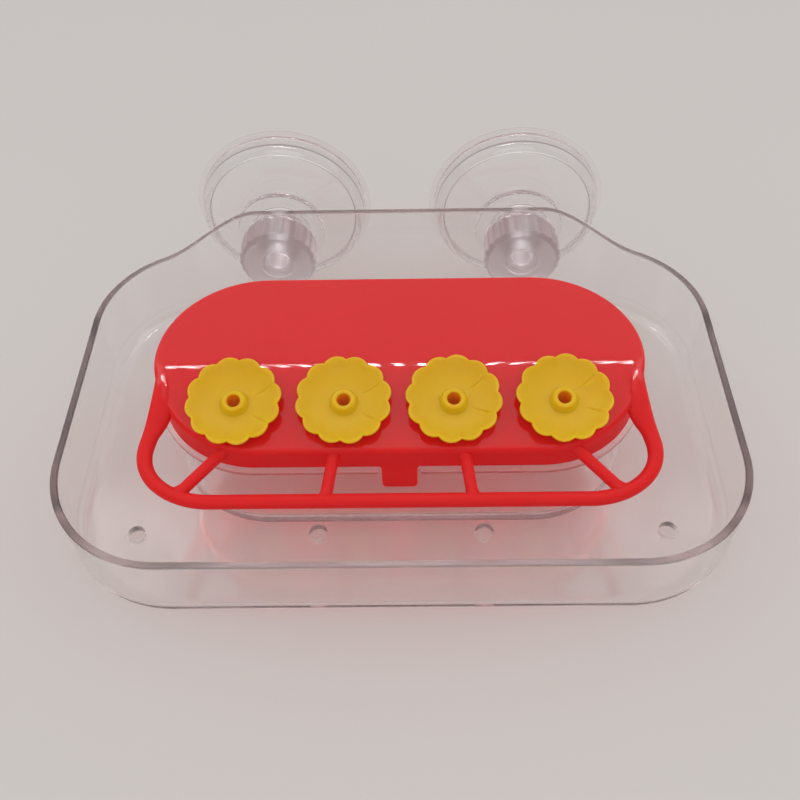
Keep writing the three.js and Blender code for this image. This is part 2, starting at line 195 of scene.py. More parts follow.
def pale_room():
    """A world of pale walls with a bright panel in the ceiling, a little behind the feeder."""
    world = bpy.data.worlds.new("room")
    world.use_nodes = True
    tree = world.node_tree
    panel = (0.0, cos(PANEL_ELEVATION), sin(PANEL_ELEVATION))
    direction = add_node(tree, "TexCoord", {}).outputs["Generated"]
    toward = add_node(tree, "VectorMath", {0: direction, 1: panel}, operation="DOT_PRODUCT")
    shade = colours_along(tree, toward.outputs["Value"], ROOM_SHADES)
    fill(tree, tree.nodes["Background"], {"Color": shade})
    return world


scene = bpy.context.scene
scene.world = pale_room()
scene.cycles.max_bounces = LIGHT_BOUNCES
scene.cycles.transmission_bounces = LIGHT_BOUNCES
scene.cycles.glossy_bounces = LIGHT_BOUNCES
scene.cycles.transparent_max_bounces = CLEAR_BOUNCES
scene.view_settings.view_transform = "Standard"
print("Shades of the room:", len(ROOM_SHADES))

# %% [markdown]
# The lamps of the room are large, so the shadows are soft. One sun lamp would draw hard shadows, so two
# large lamps hang at the sides and one in front. A row of small lamps draws the short white strokes along
# the crease of the lid. They only glint, and are kept out of the diffuse light.

# %% Hang the lamps
LAMP_SIDE = 1.1
LAMPS = {
    "left_lamp": ((-0.95, 0.25, 0.95), 2.7),
    "right_lamp": ((0.95, 0.25, 0.95), 2.7),
    "front_lamp": ((0.0, -0.9, 1.2), 3.9),
}
ROW_COUNT = 22
ROW_PITCH = 0.03
ROW_LAMP_SIZE = (0.011, 0.08)
ROW_LAMP_POWER = 0.09
ROW_PLACE = (0.33, 0.95)


def add_lamp(name, place, power, width, height):
    """Adds an oblong lamp that faces the middle of the tray."""
    bpy.ops.object.light_add(type="AREA", location=place)
    lamp = bpy.context.object
    lamp.name = name
    lamp.rotation_euler = (-Vector(place)).to_track_quat("-Z", "Y").to_euler()
    lamp.data.energy = power
    lamp.data.shape = "RECTANGLE"
    lamp.data.size = width
    lamp.data.size_y = height
    return lamp


for name, (place, power) in LAMPS.items():
    add_lamp(name, place, power, LAMP_SIDE, LAMP_SIDE)
for k in range(ROW_COUNT):
    x = (k - (ROW_COUNT - 1) / 2) * ROW_PITCH
    row_lamp = add_lamp("row_lamp", (x, *ROW_PLACE), ROW_LAMP_POWER, *ROW_LAMP_SIZE)
    row_lamp.visible_diffuse = False
print("Lamps:", len(LAMPS) + ROW_COUNT)

# %% [markdown]
# ## The finishes
# The plastics share a few tricks: a noise spread over a range, a bump, a mix, and values that are written
# on the faces of a piece and read by name. Textures could be painted, but patterns stay sharp at any
# distance. Light would be lost in a refracting wall, so a ray on its way to a lamp meets a tinted
# transparent surface in place of the plastic.

# %% Helpers for finishes
MIX_SOCKETS = {"FLOAT": (2, 3, 0), "RGBA": (6, 7, 2)}


def spread(tree, value, low, high, start=0.0):
    """Maps a pattern, from a start up to 1, onto a range."""
    inputs = {"Value": value, "From Min": start, "To Min": low, "To Max": high}
    return add_node(tree, "MapRange", inputs).outputs["Result"]


def bumped(tree, value, depth):
    """Raises the surface by a pattern, without changing the mesh."""
    return add_node(tree, "Bump", {"Height": value, "Distance": depth}).outputs["Normal"]


def marked(tree, name):
    """The value that a piece's faces carry under a name, 0 where they carry none."""
    return add_node(tree, "Attribute", {}, attribute_name=name).outputs["Fac"]


def blend(tree, kind, factor, first, second):
    """Mixes two numbers or two colours, each of them a socket or a plain value."""
    a, b, result = MIX_SOCKETS[kind]
    return add_node(tree, "Mix", {0: factor, a: first, b: second}, data_type=kind).outputs[result]


def let_light_through(tree, shader, tint, ways):
    """Rays of the named ways meet a tinted transparent surface in place of the plastic."""
    path = add_node(tree, "LightPath", {})
    through = add_node(tree, "BsdfTransparent", {"Color": (*tint, 1.0)}).outputs["BSDF"]
    surface = shader.outputs["BSDF"]
    for way in ways:
        either = add_node(tree, "MixShader", {"Fac": path.outputs[way], 1: surface, 2: through})
        surface = either.outputs["Shader"]
    fill(tree, tree.nodes["Material Output"], {"Surface": surface})


# %% [markdown]
# The clear pieces are hard plastic, soft vinyl for the cups, and a hazy plastic for the studs and nuts.
# Clear plastic could be plain transparency, but then its edges would vanish. Refraction draws the rim
# and the corners. The body takes up a little light, so a long way through it looks deeper. Faces marked
# as an edge are duller and take the edge tint, which on the vinyl and the hazy plastic paints dark lines
# as painted shade. The hazy plastic's outline is painted darker in the same way, and faces marked as
# shade are deeper in colour.

# %% Mix the clear plastics
OUTLINE_START = 0.6
FLOW_SCALE = 90.0
RIPPLE_SCALE = 35.0
LAMP_WAYS = ("Is Diffuse Ray", "Is Shadow Ray")


def clear_finish(name, tint, gloss, edge_tint, edge_gloss, ior, ripple, depth, through,
                 shade_tint=None, outline=0.0):
    """A refracting plastic. Its outline can be painted darker, as shade, where the surface turns away from
    the eye.
    """
    material, tree, shader = new_material(name)
    edge = marked(tree, "edge")
    if outline > 0.0:
        facing = add_node(tree, "LayerWeight", {}).outputs["Facing"]
        side = spread(tree, facing, 0.0, outline, OUTLINE_START)
        edge = add_node(tree, "Math", {0: edge, 1: side}, operation="MAXIMUM").outputs[0]
    # Edge marks and the outline take the edge tint, which is painted shade where it is dark.
    tone = blend(tree, "RGBA", edge, (*tint, 1.0), (*edge_tint, 1.0))
    if shade_tint:
        tone = blend(tree, "RGBA", marked(tree, "shade"), tone, (*shade_tint, 1.0))
    flow = spread(tree, noise_on(tree, FLOW_SCALE), *gloss)
    fill(tree, shader, {
        "Base Color": tone,
        "Roughness": blend(tree, "FLOAT", edge, flow, edge_gloss),
        "Transmission Weight": 1.0,
        "IOR": ior,
        "Normal": bumped(tree, noise_on(tree, RIPPLE_SCALE, 1.0), ripple),
    })
    colour, density = depth
    body = add_node(tree, "VolumeAbsorption", {"Color": (*colour, 1.0), "Density": density})
    fill(tree, tree.nodes["Material Output"], {"Volume": body.outputs["Volume"]})
    let_light_through(tree, shader, through, LAMP_WAYS)
    return material


hard_clear = clear_finish(
    "hard_clear", tint=(0.982, 0.98, 0.978), gloss=(0.03, 0.07),
    edge_tint=(0.985, 0.97, 0.965), edge_gloss=0.42, shade_tint=(0.46, 0.28, 0.29),
    ior=1.49, ripple=0.05 * mm, depth=((0.55, 0.38, 0.38), 11.0), through=(0.967, 0.958, 0.958))
# The vinyl's dark edge tint paints the cups' lines, painted shade in place of the lines that refraction
# draws.
soft_clear = clear_finish(
    "soft_clear", tint=(0.982, 0.974, 0.976), gloss=(0.03, 0.07),
    edge_tint=(0.36, 0.32, 0.33), edge_gloss=0.10, shade_tint=(0.36, 0.32, 0.33),
    ior=1.46, ripple=0.08 * mm, depth=((0.45, 0.30, 0.34), 5.0), through=(0.97, 0.96, 0.96))
# The hazy plastic's dark edge tint and darkened outline are painted shade on the nuts and studs.
hazy_clear = clear_finish(
    "hazy_clear", tint=(0.88, 0.845, 0.855), gloss=(0.28, 0.36),
    edge_tint=(0.54, 0.48, 0.49), edge_gloss=0.36, outline=0.5,
    ior=1.47, ripple=0.08 * mm, depth=((0.35, 0.18, 0.22), 9.0), through=(0.95, 0.93, 0.94))
print("Clear plastics:", hard_clear.name, soft_clear.name, hazy_clear.name)

# %% [markdown]
# The red and the yellow are moulded plastics that are coloured right through. One colour under a coat
# would look painted. Here light enters a little way, so the thin edges glow, the colour drifts slowly
# and the gloss is uneven. The red lets a red light fall on what is under the lid, and its top is polished
# and mirrors the lamps. The yellow is satin. The wall of its feeding hole gets a deeper orange, a
# painted glow in place of the warm light inside the hole.

# %% Mix the coloured plastics
DRIFT_SCALE = 40.0
GLOSS_SCALE = 160.0
GRAIN_SCALE = 900.0
GRAIN_DEPTH = 0.0004 * mm


def coloured_finish(name, tones, gloss, shine, reach, depth, through, ways, polished=None, painted_hole_glow=None):
    """A moulded plastic. polished gives the gloss and the shine of faces marked as polish."""
    material, tree, shader = new_material(name)
    colour = colours_along(tree, noise_on(tree, DRIFT_SCALE), {0.0: tones[0], 1.0: tones[1]})
    # The wall of a feeding hole gets a painted warm glow in place of the light inside the hole.
    if painted_hole_glow:
        colour = blend(tree, "RGBA", marked(tree, "painted_hole_glow"), colour, (*painted_hole_glow, 1.0))
    uneven = noise_on(tree, GLOSS_SCALE)
    roughness = spread(tree, uneven, *gloss)
    if polished:
        bright_gloss, bright_shine = polished
        polish = marked(tree, "polish")
        roughness = blend(tree, "FLOAT", polish, roughness, spread(tree, uneven, *bright_gloss))
        shine = blend(tree, "FLOAT", polish, shine, bright_shine)
    fill(tree, shader, {
        "Base Color": colour,
        "Roughness": roughness,
        "Specular IOR Level": shine,
        "Normal": bumped(tree, noise_on(tree, GRAIN_SCALE), GRAIN_DEPTH),
        "Subsurface Weight": 1.0,
        "Subsurface Radius": reach,
        "Subsurface Scale": depth,
    })
    let_light_through(tree, shader, through, ways)
    return material


red_plastic = coloured_finish(
    "red_plastic", tones=((0.65, 0.014, 0.016), (0.69, 0.017, 0.019)),
    gloss=(0.42, 0.52), shine=0.12, polished=((0.015, 0.025), 0.45),
    reach=(1.0, 0.06, 0.06), depth=2.0 * mm, through=(0.98, 0.25, 0.26), ways=LAMP_WAYS)
# The yellow's hole colour is a painted warm glow inside the feeding hole.
yellow_plastic = coloured_finish(
    "yellow_plastic", tones=((0.62, 0.40, 0.007), (0.66, 0.43, 0.009)),
    gloss=(0.38, 0.50), shine=0.2, painted_hole_glow=(0.82, 0.32, 0.010),
    reach=(1.0, 0.6, 0.06), depth=2.2 * mm, through=(0.70, 0.48, 0.12), ways=LAMP_WAYS[1:])
print("Coloured plastics:", red_plastic.name, yellow_plastic.name)

# %% [markdown]
# ## One way to model every moulded piece
# Moulded pieces are walls that run round an outline. A circle is the first ring of such a wall. Each
# extrusion of the ring makes the next one, and the new corners are moved to where the outline runs at
# that height. The two ends are filled, or the last ring is welded to the first.

# %% Helpers for rings
WELD = 0.002 * mm
SMOOTH_ANGLE = radians(38)


def pick(piece):
    """Selects one object alone and makes it the active one."""
    deselect_all()
    piece.select_set(True)
    bpy.context.view_layer.objects.active = piece


def skin_rings(name, rings, ends="filled"):
    """Models a piece from rings of points, each extruded from the one before it."""
    deselect_all()
    fill = "NGON" if ends == "filled" else "NOTHING"
    bpy.ops.mesh.primitive_circle_add(vertices=len(rings[0]), fill_type=fill)
    piece = bpy.context.object
    piece.name = piece.data.name = name
    bpy.ops.object.mode_set(mode="EDIT")
    mesh = bmesh.from_edit_mesh(piece.data)
    mesh.verts.ensure_lookup_table()
    edge_ring = list(range(len(rings[0])))
    for index, point in zip(edge_ring, rings[0]):
        mesh.verts[index].co = point
    for ring in rings[1:]:
        bpy.ops.mesh.extrude_edges_move()
        mesh = bmesh.from_edit_mesh(piece.data)
        mesh.verts.index_update()
        mesh.verts.ensure_lookup_table()
        next_ring = []
        for index, point in zip(edge_ring, ring):
            old = mesh.verts[index]
            new = next(edge.other_vert(old) for edge in old.link_edges if edge.other_vert(old).select)
            new.co = point
            next_ring.append(new.index)
        edge_ring = next_ring
    if ends == "filled":
        bpy.ops.mesh.edge_face_add()
    weld(piece)
    return piece


def weld(piece, reach=WELD):
    """Merges doubled corners, turns the faces outwards and shades the round stretches smooth."""
    if piece.mode != "EDIT":
        pick(piece)
        bpy.ops.object.mode_set(mode="EDIT")
    bpy.ops.mesh.select_all(action="SELECT")
    bpy.ops.mesh.remove_doubles(threshold=reach)
    bpy.ops.mesh.normals_make_consistent(inside=False)
    bpy.ops.object.mode_set(mode="OBJECT")
    bpy.ops.object.shade_smooth_by_angle(angle=SMOOTH_ANGLE)


# %% [markdown]
# Every edge of a moulding is rounded. A bevel could round it afterwards, but it is simpler to place a few
# of the rings along a quarter circle.

# %% Helpers for rounds
def quarter(steps):
    """Angles from 0 to a right angle, both ends included."""
    return [pi / 2 * i / steps for i in range(steps + 1)]


def round_over(radius, steps):
    """Pairs of inset and rise along a quarter round, from the flat to the wall."""
    return [(radius * (1 - sin(turn)), radius * (1 - cos(turn))) for turn in quarter(steps)]


# %% [markdown]
# Pieces are cut and joined with the Boolean modifier, as on a bench with a drill and glue. A finished
# piece gets weighted normals, which keep the large flat faces flat beside their rounded edges. Then it
# gets its material and the body that carries it, and the parts of the model that it stands for are hidden.

# %% Helpers for joining and finishing
DRILL_STATIONS = 48


def combine(piece, tool, operation):
    """Cuts a tool out of a piece or joins it on, then deletes the tool."""
    pick(piece)
    bpy.ops.object.modifier_add(type="BOOLEAN")
    step = piece.modifiers[-1]
    step.operation = operation
    step.solver = "EXACT"
    step.object = tool
    bpy.ops.object.modifier_apply(modifier=step.name)
    bpy.data.objects.remove(tool, do_unlink=True)
    bpy.ops.object.shade_smooth_by_angle(angle=SMOOTH_ANGLE)


def drill(piece, place, radius, length, direction):
    """Cuts a round hole along a direction."""
    deselect_all()
    turn = Vector(direction).to_track_quat("Z", "Y").to_euler()
    bpy.ops.mesh.primitive_cylinder_add(
        vertices=DRILL_STATIONS, radius=radius, depth=length, location=place, rotation=turn)
    combine(piece, bpy.context.object, "DIFFERENCE")


def mark_faces(piece, name, value_at):
    """Writes a value on each face of a piece, from the face's centre and normal."""
    marks = piece.data.attributes.new(name, "FLOAT", "FACE")
    for face in piece.data.polygons:
        marks.data[face.index].value = value_at(face.center, face.normal)


def dress(piece, material, body, slot, *nodes):
    """Gives a piece its finish and its body, hides the parts that it stands for and prints its size."""
    pick(piece)
    bpy.ops.object.modifier_add(type="WEIGHTED_NORMAL")
    piece.modifiers[-1].keep_sharp = True
    bpy.ops.object.modifier_apply(modifier=piece.modifiers[-1].name)
    piece.data.materials.clear()
    piece.data.materials.append(material)
    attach(piece, body)
    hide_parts(*nodes)
    size = [round(side / mm, 1) for side in piece.dimensions]
    print(f"{piece.name}: {len(piece.data.polygons)} faces, {size} mm")


# %% [markdown]
# ## The tray
# The tray is one clear moulding: a floor with a rounded edge, low walls that lean out a little, and a
# back wall that swells up to carry the suction cups. A plane with bevelled corners and a Solidify
# modifier would give an even height, so the rings are placed by a formula that lets the rim rise.

# %% Draw the tray's outline
HALF_WIDTH = 90.0 * mm
HALF_DEPTH = 57.0 * mm
RIM_HEIGHT = 25.0 * mm
TRAY_DRAFT = 0.5 * mm
FRONT_CORNER = 32.0 * mm
BACK_CORNER = 31.0 * mm
CORNER_STEPS = 28
SIDE_STEPS = 8
BACK_STEPS = 72


def tray_corner(corner, angle, height, inset):
    """A point of one rounded corner at a height, drawn in by an inset. The back wall stands upright."""
    side, end = corner
    lean = TRAY_DRAFT * (1.0 - height / RIM_HEIGHT) + inset
    radius = (FRONT_CORNER if end < 0 else BACK_CORNER) - lean
    x = side * (HALF_WIDTH - lean - radius) + radius * cos(angle)
    y = end * (HALF_DEPTH - (lean if end < 0 else inset) - radius) + radius * sin(angle)
    return Vector((x, y, height))


def tray_stations():
    """Places round the outline, each a share of the way between two corner points."""
    corners = [((1, -1), -pi / 2), ((1, 1), 0.0), ((-1, 1), pi / 2), ((-1, -1), pi)]
    edge_steps = [SIDE_STEPS, BACK_STEPS, SIDE_STEPS, SIDE_STEPS]
    stations = []
    for i, (corner, start) in enumerate(corners):
        after, after_start = corners[(i + 1) % 4]
        for k in range(CORNER_STEPS):
            angle = start + pi / 2 * k / CORNER_STEPS
            stations.append(((corner, angle), (corner, angle), 0.0))
        for k in range(edge_steps[i]):
            stations.append(((corner, start + pi / 2), (after, after_start), k / edge_steps[i]))
    return stations


def tray_point(station, height, inset):
    """A point of the outline at a height, drawn in by an inset."""
    first, second, share = station
    return tray_corner(*first, height, inset).lerp(tray_corner(*second, height, inset), share)


TRAY_STATIONS = tray_stations()
print("Places round the tray:", len(TRAY_STATIONS))

# %% [markdown]
# The rim is level round the front and the sides, and swells up along the back to carry the cups. The
# swell could be drawn by hand with proportional editing. A smooth step is the same on both sides.

# %% Let the rim rise
BACK_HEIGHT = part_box("tray")[1].z
BACK_TOP_HALF = 43.0 * mm
BACK_FOOT_HALF = 73.5 * mm


def rim_height(station):
    """Height of the rim at a place: level at the front and sides, swelling up along the back."""
    place = tray_point(station, RIM_HEIGHT, 0.0)
    if place.y < 0.0:
        return RIM_HEIGHT
    share = (BACK_FOOT_HALF - abs(place.x)) / (BACK_FOOT_HALF - BACK_TOP_HALF)
    share = min(max(share, 0.0), 1.0)
    return RIM_HEIGHT + (BACK_HEIGHT - RIM_HEIGHT) * share * share * (3.0 - 2.0 * share)


print("Rim of the back, mm:", round(max(rim_height(station) for station in TRAY_STATIONS) / mm, 1))

# %% [markdown]
# The walls are skinned in one go, from the flat of the foot round its edge, up the outside, over the
# rim, down the inside and round the fillet to the floor. A narrow flat ring beside each large face keeps
# the shading of the rounds from bleeding into it.

# %% Raise the tray's walls
TRAY_WALL = 2.0 * mm
TRAY_FLOOR = 2.2 * mm
TRAY_EDGE_ROUND = 5.3 * mm
TRAY_FILLET = 3.4 * mm
RIM_ROUND = 0.6 * mm
FLAT_MARGIN = 0.8 * mm
FOOT_TURNS = 9
RIM_TURNS = 4


def tray_ring(inset, height=None, under_rim=None):
    """A ring at a height, or at a depth under the rim."""
    ring = []
    for station in TRAY_STATIONS:
        level = height if under_rim is None else rim_height(station) - under_rim
        ring.append(tray_point(station, level, inset))
    return ring


rings = [tray_ring(TRAY_EDGE_ROUND + FLAT_MARGIN, 0.0)]
rings += [tray_ring(inset, rise) for inset, rise in round_over(TRAY_EDGE_ROUND, FOOT_TURNS)]
rim_turns = round_over(RIM_ROUND, RIM_TURNS)
rings += [tray_ring(inset, under_rim=drop) for drop, inset in rim_turns]
rings += [tray_ring(TRAY_WALL - inset, under_rim=drop) for drop, inset in reversed(rim_turns)]
for inset, rise in reversed(round_over(TRAY_FILLET, FOOT_TURNS)):
    rings.append(tray_ring(TRAY_WALL + inset, TRAY_FLOOR + rise))
rings.append(tray_ring(TRAY_WALL + TRAY_FILLET + FLAT_MARGIN, TRAY_FLOOR))
tray = skin_rings("clear_tray", rings)
print("Rings of the tray:", len(rings))

# %% [markdown]
# Rain leaves the tray through four drain holes near the front, and a stud of each suction cup comes
# through the back wall. A hole could be drawn into the faces, but a cylinder and a Boolean modifier
# leave the large flat floor as one face. The rim and the drains are dull, so they are marked as edges.

# %% Drill the tray
DRAIN_RADIUS = 2.5 * mm
DRAIN_PLACES = [-72.0 * mm, -22.5 * mm, 22.5 * mm, 72.0 * mm]
DRAIN_Y = -33.0 * mm
CUP_HALF_SPAN = 37.0 * mm
CUP_HEIGHT = 28.0 * mm
CUP_PLACES = {
    "left": (-CUP_HALF_SPAN, HALF_DEPTH, CUP_HEIGHT),
    "right": (CUP_HALF_SPAN, HALF_DEPTH, CUP_HEIGHT),
}
STUD_HOLE_RADIUS = 3.8 * mm
DRILL_LENGTH = 10.0 * mm
DRAIN_REACH = 1.05 * DRAIN_RADIUS
RIM_TILT = 0.3

for x in DRAIN_PLACES:
    drill(tray, (x, DRAIN_Y, 0.0), DRAIN_RADIUS, DRILL_LENGTH, (0, 0, 1))
for place in CUP_PLACES.values():
    drill(tray, place, STUD_HOLE_RADIUS, DRILL_LENGTH, (0, 1, 0))


def tray_edge(centre, normal):
    """The rim is an edge, and so are the drains."""
    rim = centre.z > RIM_HEIGHT - RIM_ROUND and normal.z > RIM_TILT
    drain = any(hypot(centre.x - x, centre.y - DRAIN_Y) < DRAIN_REACH for x in DRAIN_PLACES)
    return 1.0 if rim or drain else 0.0


mark_faces(tray, "edge", tray_edge)
dress(tray, hard_clear, "tray", "clear_tray", "tray")

# %% [markdown]
# ## The nectar cup
# The cup under the lid is a clear stadium: two half circles joined by straight sides. A bevelled cube
# could come near it, but the lid and the cup have to fit each other all round. So one outline is written
# once, and every ring of both pieces is that outline, grown or drawn in.

# %% Draw the stadium outline
LID_RADIUS = 27.5 * mm
LID_HALF_STRAIGHT = 35.4 * mm
FEEDER_Y = -4.4 * mm
LID_FRONT = FEEDER_Y - LID_RADIUS
ARC_STEPS = 64
STRAIGHT_STEPS = 10


def stadium_ring(offset, height):
    """The lid's outline grown by an offset. height is a number or a function of the place along Y."""
    radius = LID_RADIUS + offset
    flat = []
    for side, start in ((1, -pi / 2), (-1, pi / 2)):
        for k in range(ARC_STEPS):
            angle = start + pi * k / ARC_STEPS
            flat.append((side * LID_HALF_STRAIGHT + radius * cos(angle), FEEDER_Y + radius * sin(angle)))
        for k in range(STRAIGHT_STEPS):
            share = k / STRAIGHT_STEPS
            flat.append((side * LID_HALF_STRAIGHT * (1 - 2 * share), FEEDER_Y + side * radius))
    return [Vector((x, y, height(y) if callable(height) else height)) for x, y in flat]


print("Places round the stadium:", len(stadium_ring(0.0, 0.0)))

# %% [markdown]
# The cup has a rounded foot, a ledge that the lid's skirt comes down on, and a thin neck inside the
# skirt. One profile carried round the outline makes all of it, inside and outside.

# %% Shape the nectar cup
SEAT_GAP = 0.3 * mm
SKIRT_BOTTOM = 29.8 * mm
LEDGE_TOP = SKIRT_BOTTOM - SEAT_GAP
LEDGE_THICKNESS = 1.2 * mm
LEDGE_REACH = 0.8 * mm
LEDGE_ROUND = 0.4 * mm
LEDGE_BOTTOM = LEDGE_TOP - LEDGE_THICKNESS
NECTAR_BOTTOM = TRAY_FLOOR + SEAT_GAP
NECTAR_FLOOR = 2.0 * mm
NECTAR_WALL = 1.8 * mm
NECTAR_FOOT = -1.6 * mm
NECTAR_BODY = -1.2 * mm
NECTAR_NECK = -1.9 * mm
NECTAR_ROUND = 1.3 * mm
NECTAR_FILLET = 1.8 * mm
FOOT_BAND = 3.4 * mm
NECK_RISE = 3.6 * mm
EDGE_TURNS = 6
LEDGE_TURNS = 3
NECK_TURNS = 8


def nectar_cup_profile():
    """Pairs of offset and height, from the middle of the foot round to the middle of the inner floor."""
    inner_floor = NECTAR_BOTTOM + NECTAR_FLOOR
    steps = [(NECTAR_FOOT - NECTAR_ROUND - FLAT_MARGIN, NECTAR_BOTTOM)]
    for inset, rise in round_over(NECTAR_ROUND, EDGE_TURNS):
        steps.append((NECTAR_FOOT - inset, NECTAR_BOTTOM + rise))
    share = (FOOT_BAND - NECTAR_ROUND) / (LEDGE_BOTTOM - LEDGE_ROUND - NECTAR_BOTTOM - NECTAR_ROUND)
    steps.append((NECTAR_FOOT + share * (NECTAR_BODY - NECTAR_FOOT), NECTAR_BOTTOM + FOOT_BAND))
    steps.append((NECTAR_BODY, LEDGE_BOTTOM - LEDGE_ROUND))
    steps.append((NECTAR_BODY + LEDGE_ROUND, LEDGE_BOTTOM))
    ledge_turns = round_over(LEDGE_ROUND, LEDGE_TURNS)
    steps += [(LEDGE_REACH - inset, LEDGE_BOTTOM + rise) for inset, rise in ledge_turns]
    steps += [(LEDGE_REACH - inset, LEDGE_TOP - drop) for drop, inset in ledge_turns]
    steps.append((NECTAR_NECK + LEDGE_ROUND / 2, LEDGE_TOP))
    steps.append((NECTAR_NECK, LEDGE_TOP + LEDGE_ROUND / 2))
    rim = NECTAR_WALL / 2
    for turn in [pi * k / NECK_TURNS for k in range(NECK_TURNS + 1)]:
        steps.append((NECTAR_NECK - rim * (1 - cos(turn)), LEDGE_TOP + NECK_RISE - rim * (1 - sin(turn))))
    for inset, rise in reversed(round_over(NECTAR_FILLET, EDGE_TURNS)):
        steps.append((NECTAR_FOOT - NECTAR_WALL - inset, inner_floor + rise))
    steps.append((NECTAR_FOOT - NECTAR_WALL - NECTAR_FILLET - FLAT_MARGIN, inner_floor))
    return steps


nectar_cup = skin_rings("clear_nectar_cup", [stadium_ring(*step) for step in nectar_cup_profile()])
print("Nectar cup profile:", len(nectar_cup_profile()), "steps")

# %% [markdown]
# The ledge is open in the middle of the front, where the lid's finger tab hangs through it. A block cuts
# the opening. The ledge is marked as an edge. The thick foot shows the red of the lid, so a band round
# it is marked as shade.

# %% Notch the ledge for the finger tab
NOTCH_SIZE = (10.6 * mm, 4.0 * mm, 3.0 * mm)
NOTCH_PLACE = (0.0, LID_FRONT - 1.0 * mm, LEDGE_TOP - 0.5 * mm)
LEDGE_MARK = 0.9
UNDERSIDE = -0.9

deselect_all()
bpy.ops.mesh.primitive_cube_add(size=1.0, location=NOTCH_PLACE)
notch = bpy.context.object
notch.scale = NOTCH_SIZE
bpy.ops.object.transform_apply(location=True, rotation=True, scale=True)
combine(nectar_cup, notch, "DIFFERENCE")


def nectar_cup_edge(centre, normal):
    """The ledge is an edge."""
    return LEDGE_MARK if LEDGE_BOTTOM - LEDGE_ROUND < centre.z < LEDGE_TOP + LEDGE_ROUND else 0.0


def nectar_cup_shade(centre, normal):
    """The outside of the foot is in shade."""
    middle = max(-LID_HALF_STRAIGHT, min(LID_HALF_STRAIGHT, centre.x))
    outward = (centre.x - middle) * normal.x + (centre.y - FEEDER_Y) * normal.y > 0
    return 1.0 if outward and centre.z < NECTAR_BOTTOM + FOOT_BAND and normal.z > UNDERSIDE else 0.0


mark_faces(nectar_cup, "edge", nectar_cup_edge)
mark_faces(nectar_cup, "shade", nectar_cup_shade)
dress(nectar_cup, hard_clear, "nectar_cup", "clear_cup", "nectar_cup")

# %% [markdown]
# ## The lid
# The red lid is level at the back and slopes down towards the bird at the front, with a soft crease
# between. A block could be cut to that slope, but its rounded edge has to follow the slope too. So its
# rings follow the stadium, and their height follows the roof line.

# %% Follow the roof line
LID_TOP = 43.4 * mm
CREASE_Y = -8.0 * mm
CREASE_REACH = 2.2 * mm
RAMP_SLOPE = radians(15)
RAMP_NORMAL = Vector((0.0, -sin(RAMP_SLOPE), cos(RAMP_SLOPE)))


def ramp_plane(y):
    """Height of the plane of the ramp."""
    return LID_TOP - tan(RAMP_SLOPE) * (CREASE_Y - y)


def roof_height(y):
    """Height of the lid's top: level, then a parabola over the crease, then the ramp."""
    past = CREASE_Y + CREASE_REACH - y
    if past <= 0.0:
        return LID_TOP
    if past < 2 * CREASE_REACH:
        return LID_TOP - tan(RAMP_SLOPE) * past * past / (4 * CREASE_REACH)
    return ramp_plane(y)


def under_roof(depth):
    """The roof line at a depth under the lid's top."""
    return lambda y: roof_height(y) - depth


print("Ramp drop at the front, mm:", round((LID_TOP - roof_height(LID_FRONT)) / mm, 2))

# %% [markdown]
# The top ends in a thin flange, and the skirt stands a little back under it. A Solidify modifier could
# make the lid thin, but the perch is joined to a full body more safely. So the space inside is a second
# piece, which is cut out at the end.

# %% Skin the lid and its hollow
LID_ROOF = 2.0 * mm
LID_WALL = 1.6 * mm
LID_EDGE_ROUND = 1.1 * mm
FLANGE_THICKNESS = 1.9 * mm
SKIRT_SET_BACK = 0.45 * mm
SKIRT_ROUND = 0.3 * mm
HOLLOW_OVERCUT = 1.0 * mm


def lid_rings():
    """Rings from the top face over the edge and down the skirt."""
    over_edge = [(-inset, under_roof(drop)) for inset, drop in round_over(LID_EDGE_ROUND, EDGE_TURNS)]
    steps = [
        (-LID_EDGE_ROUND - FLAT_MARGIN, under_roof(0.0)),
        *over_edge,
        (0.0, under_roof(FLANGE_THICKNESS - SKIRT_ROUND)),
        (-SKIRT_ROUND, under_roof(FLANGE_THICKNESS)),
        (-SKIRT_SET_BACK, under_roof(FLANGE_THICKNESS + SKIRT_ROUND)),
        (-SKIRT_SET_BACK, SKIRT_BOTTOM + SKIRT_ROUND),
        (-SKIRT_SET_BACK - SKIRT_ROUND, SKIRT_BOTTOM),
    ]
    return [stadium_ring(*step) for step in steps]


def hollow_rings():
    """Rings of the space inside the lid, from the underside of the roof down past the skirt."""
    steps = [
        (-LID_WALL - 2 * FLAT_MARGIN, under_roof(LID_ROOF)),
        (-LID_WALL - FLAT_MARGIN, under_roof(LID_ROOF)),
        (-LID_WALL, under_roof(LID_ROOF + FLAT_MARGIN)),
        (-LID_WALL, SKIRT_BOTTOM - HOLLOW_OVERCUT),
    ]
    return [stadium_ring(*step) for step in steps]


lid = skin_rings("red_lid", lid_rings())
hollow = skin_rings("lid_hollow", hollow_rings())
print("Lid:", len(lid.data.polygons), "faces, hollow:", len(hollow.data.polygons), "faces")

# %% [markdown]
# The top of the lid and the top of the hollow are each one large face, and such a face can't bend. They
# are cut across with bisect, a row of cuts close together over the crease, and each cut is laid on the
# roof line.

# %% Bend the large faces along the crease
CREASE_CUTS = 10
LARGE_FACE_CORNERS = 12
TOP_FACES = SKIRT_BOTTOM + 5 * mm


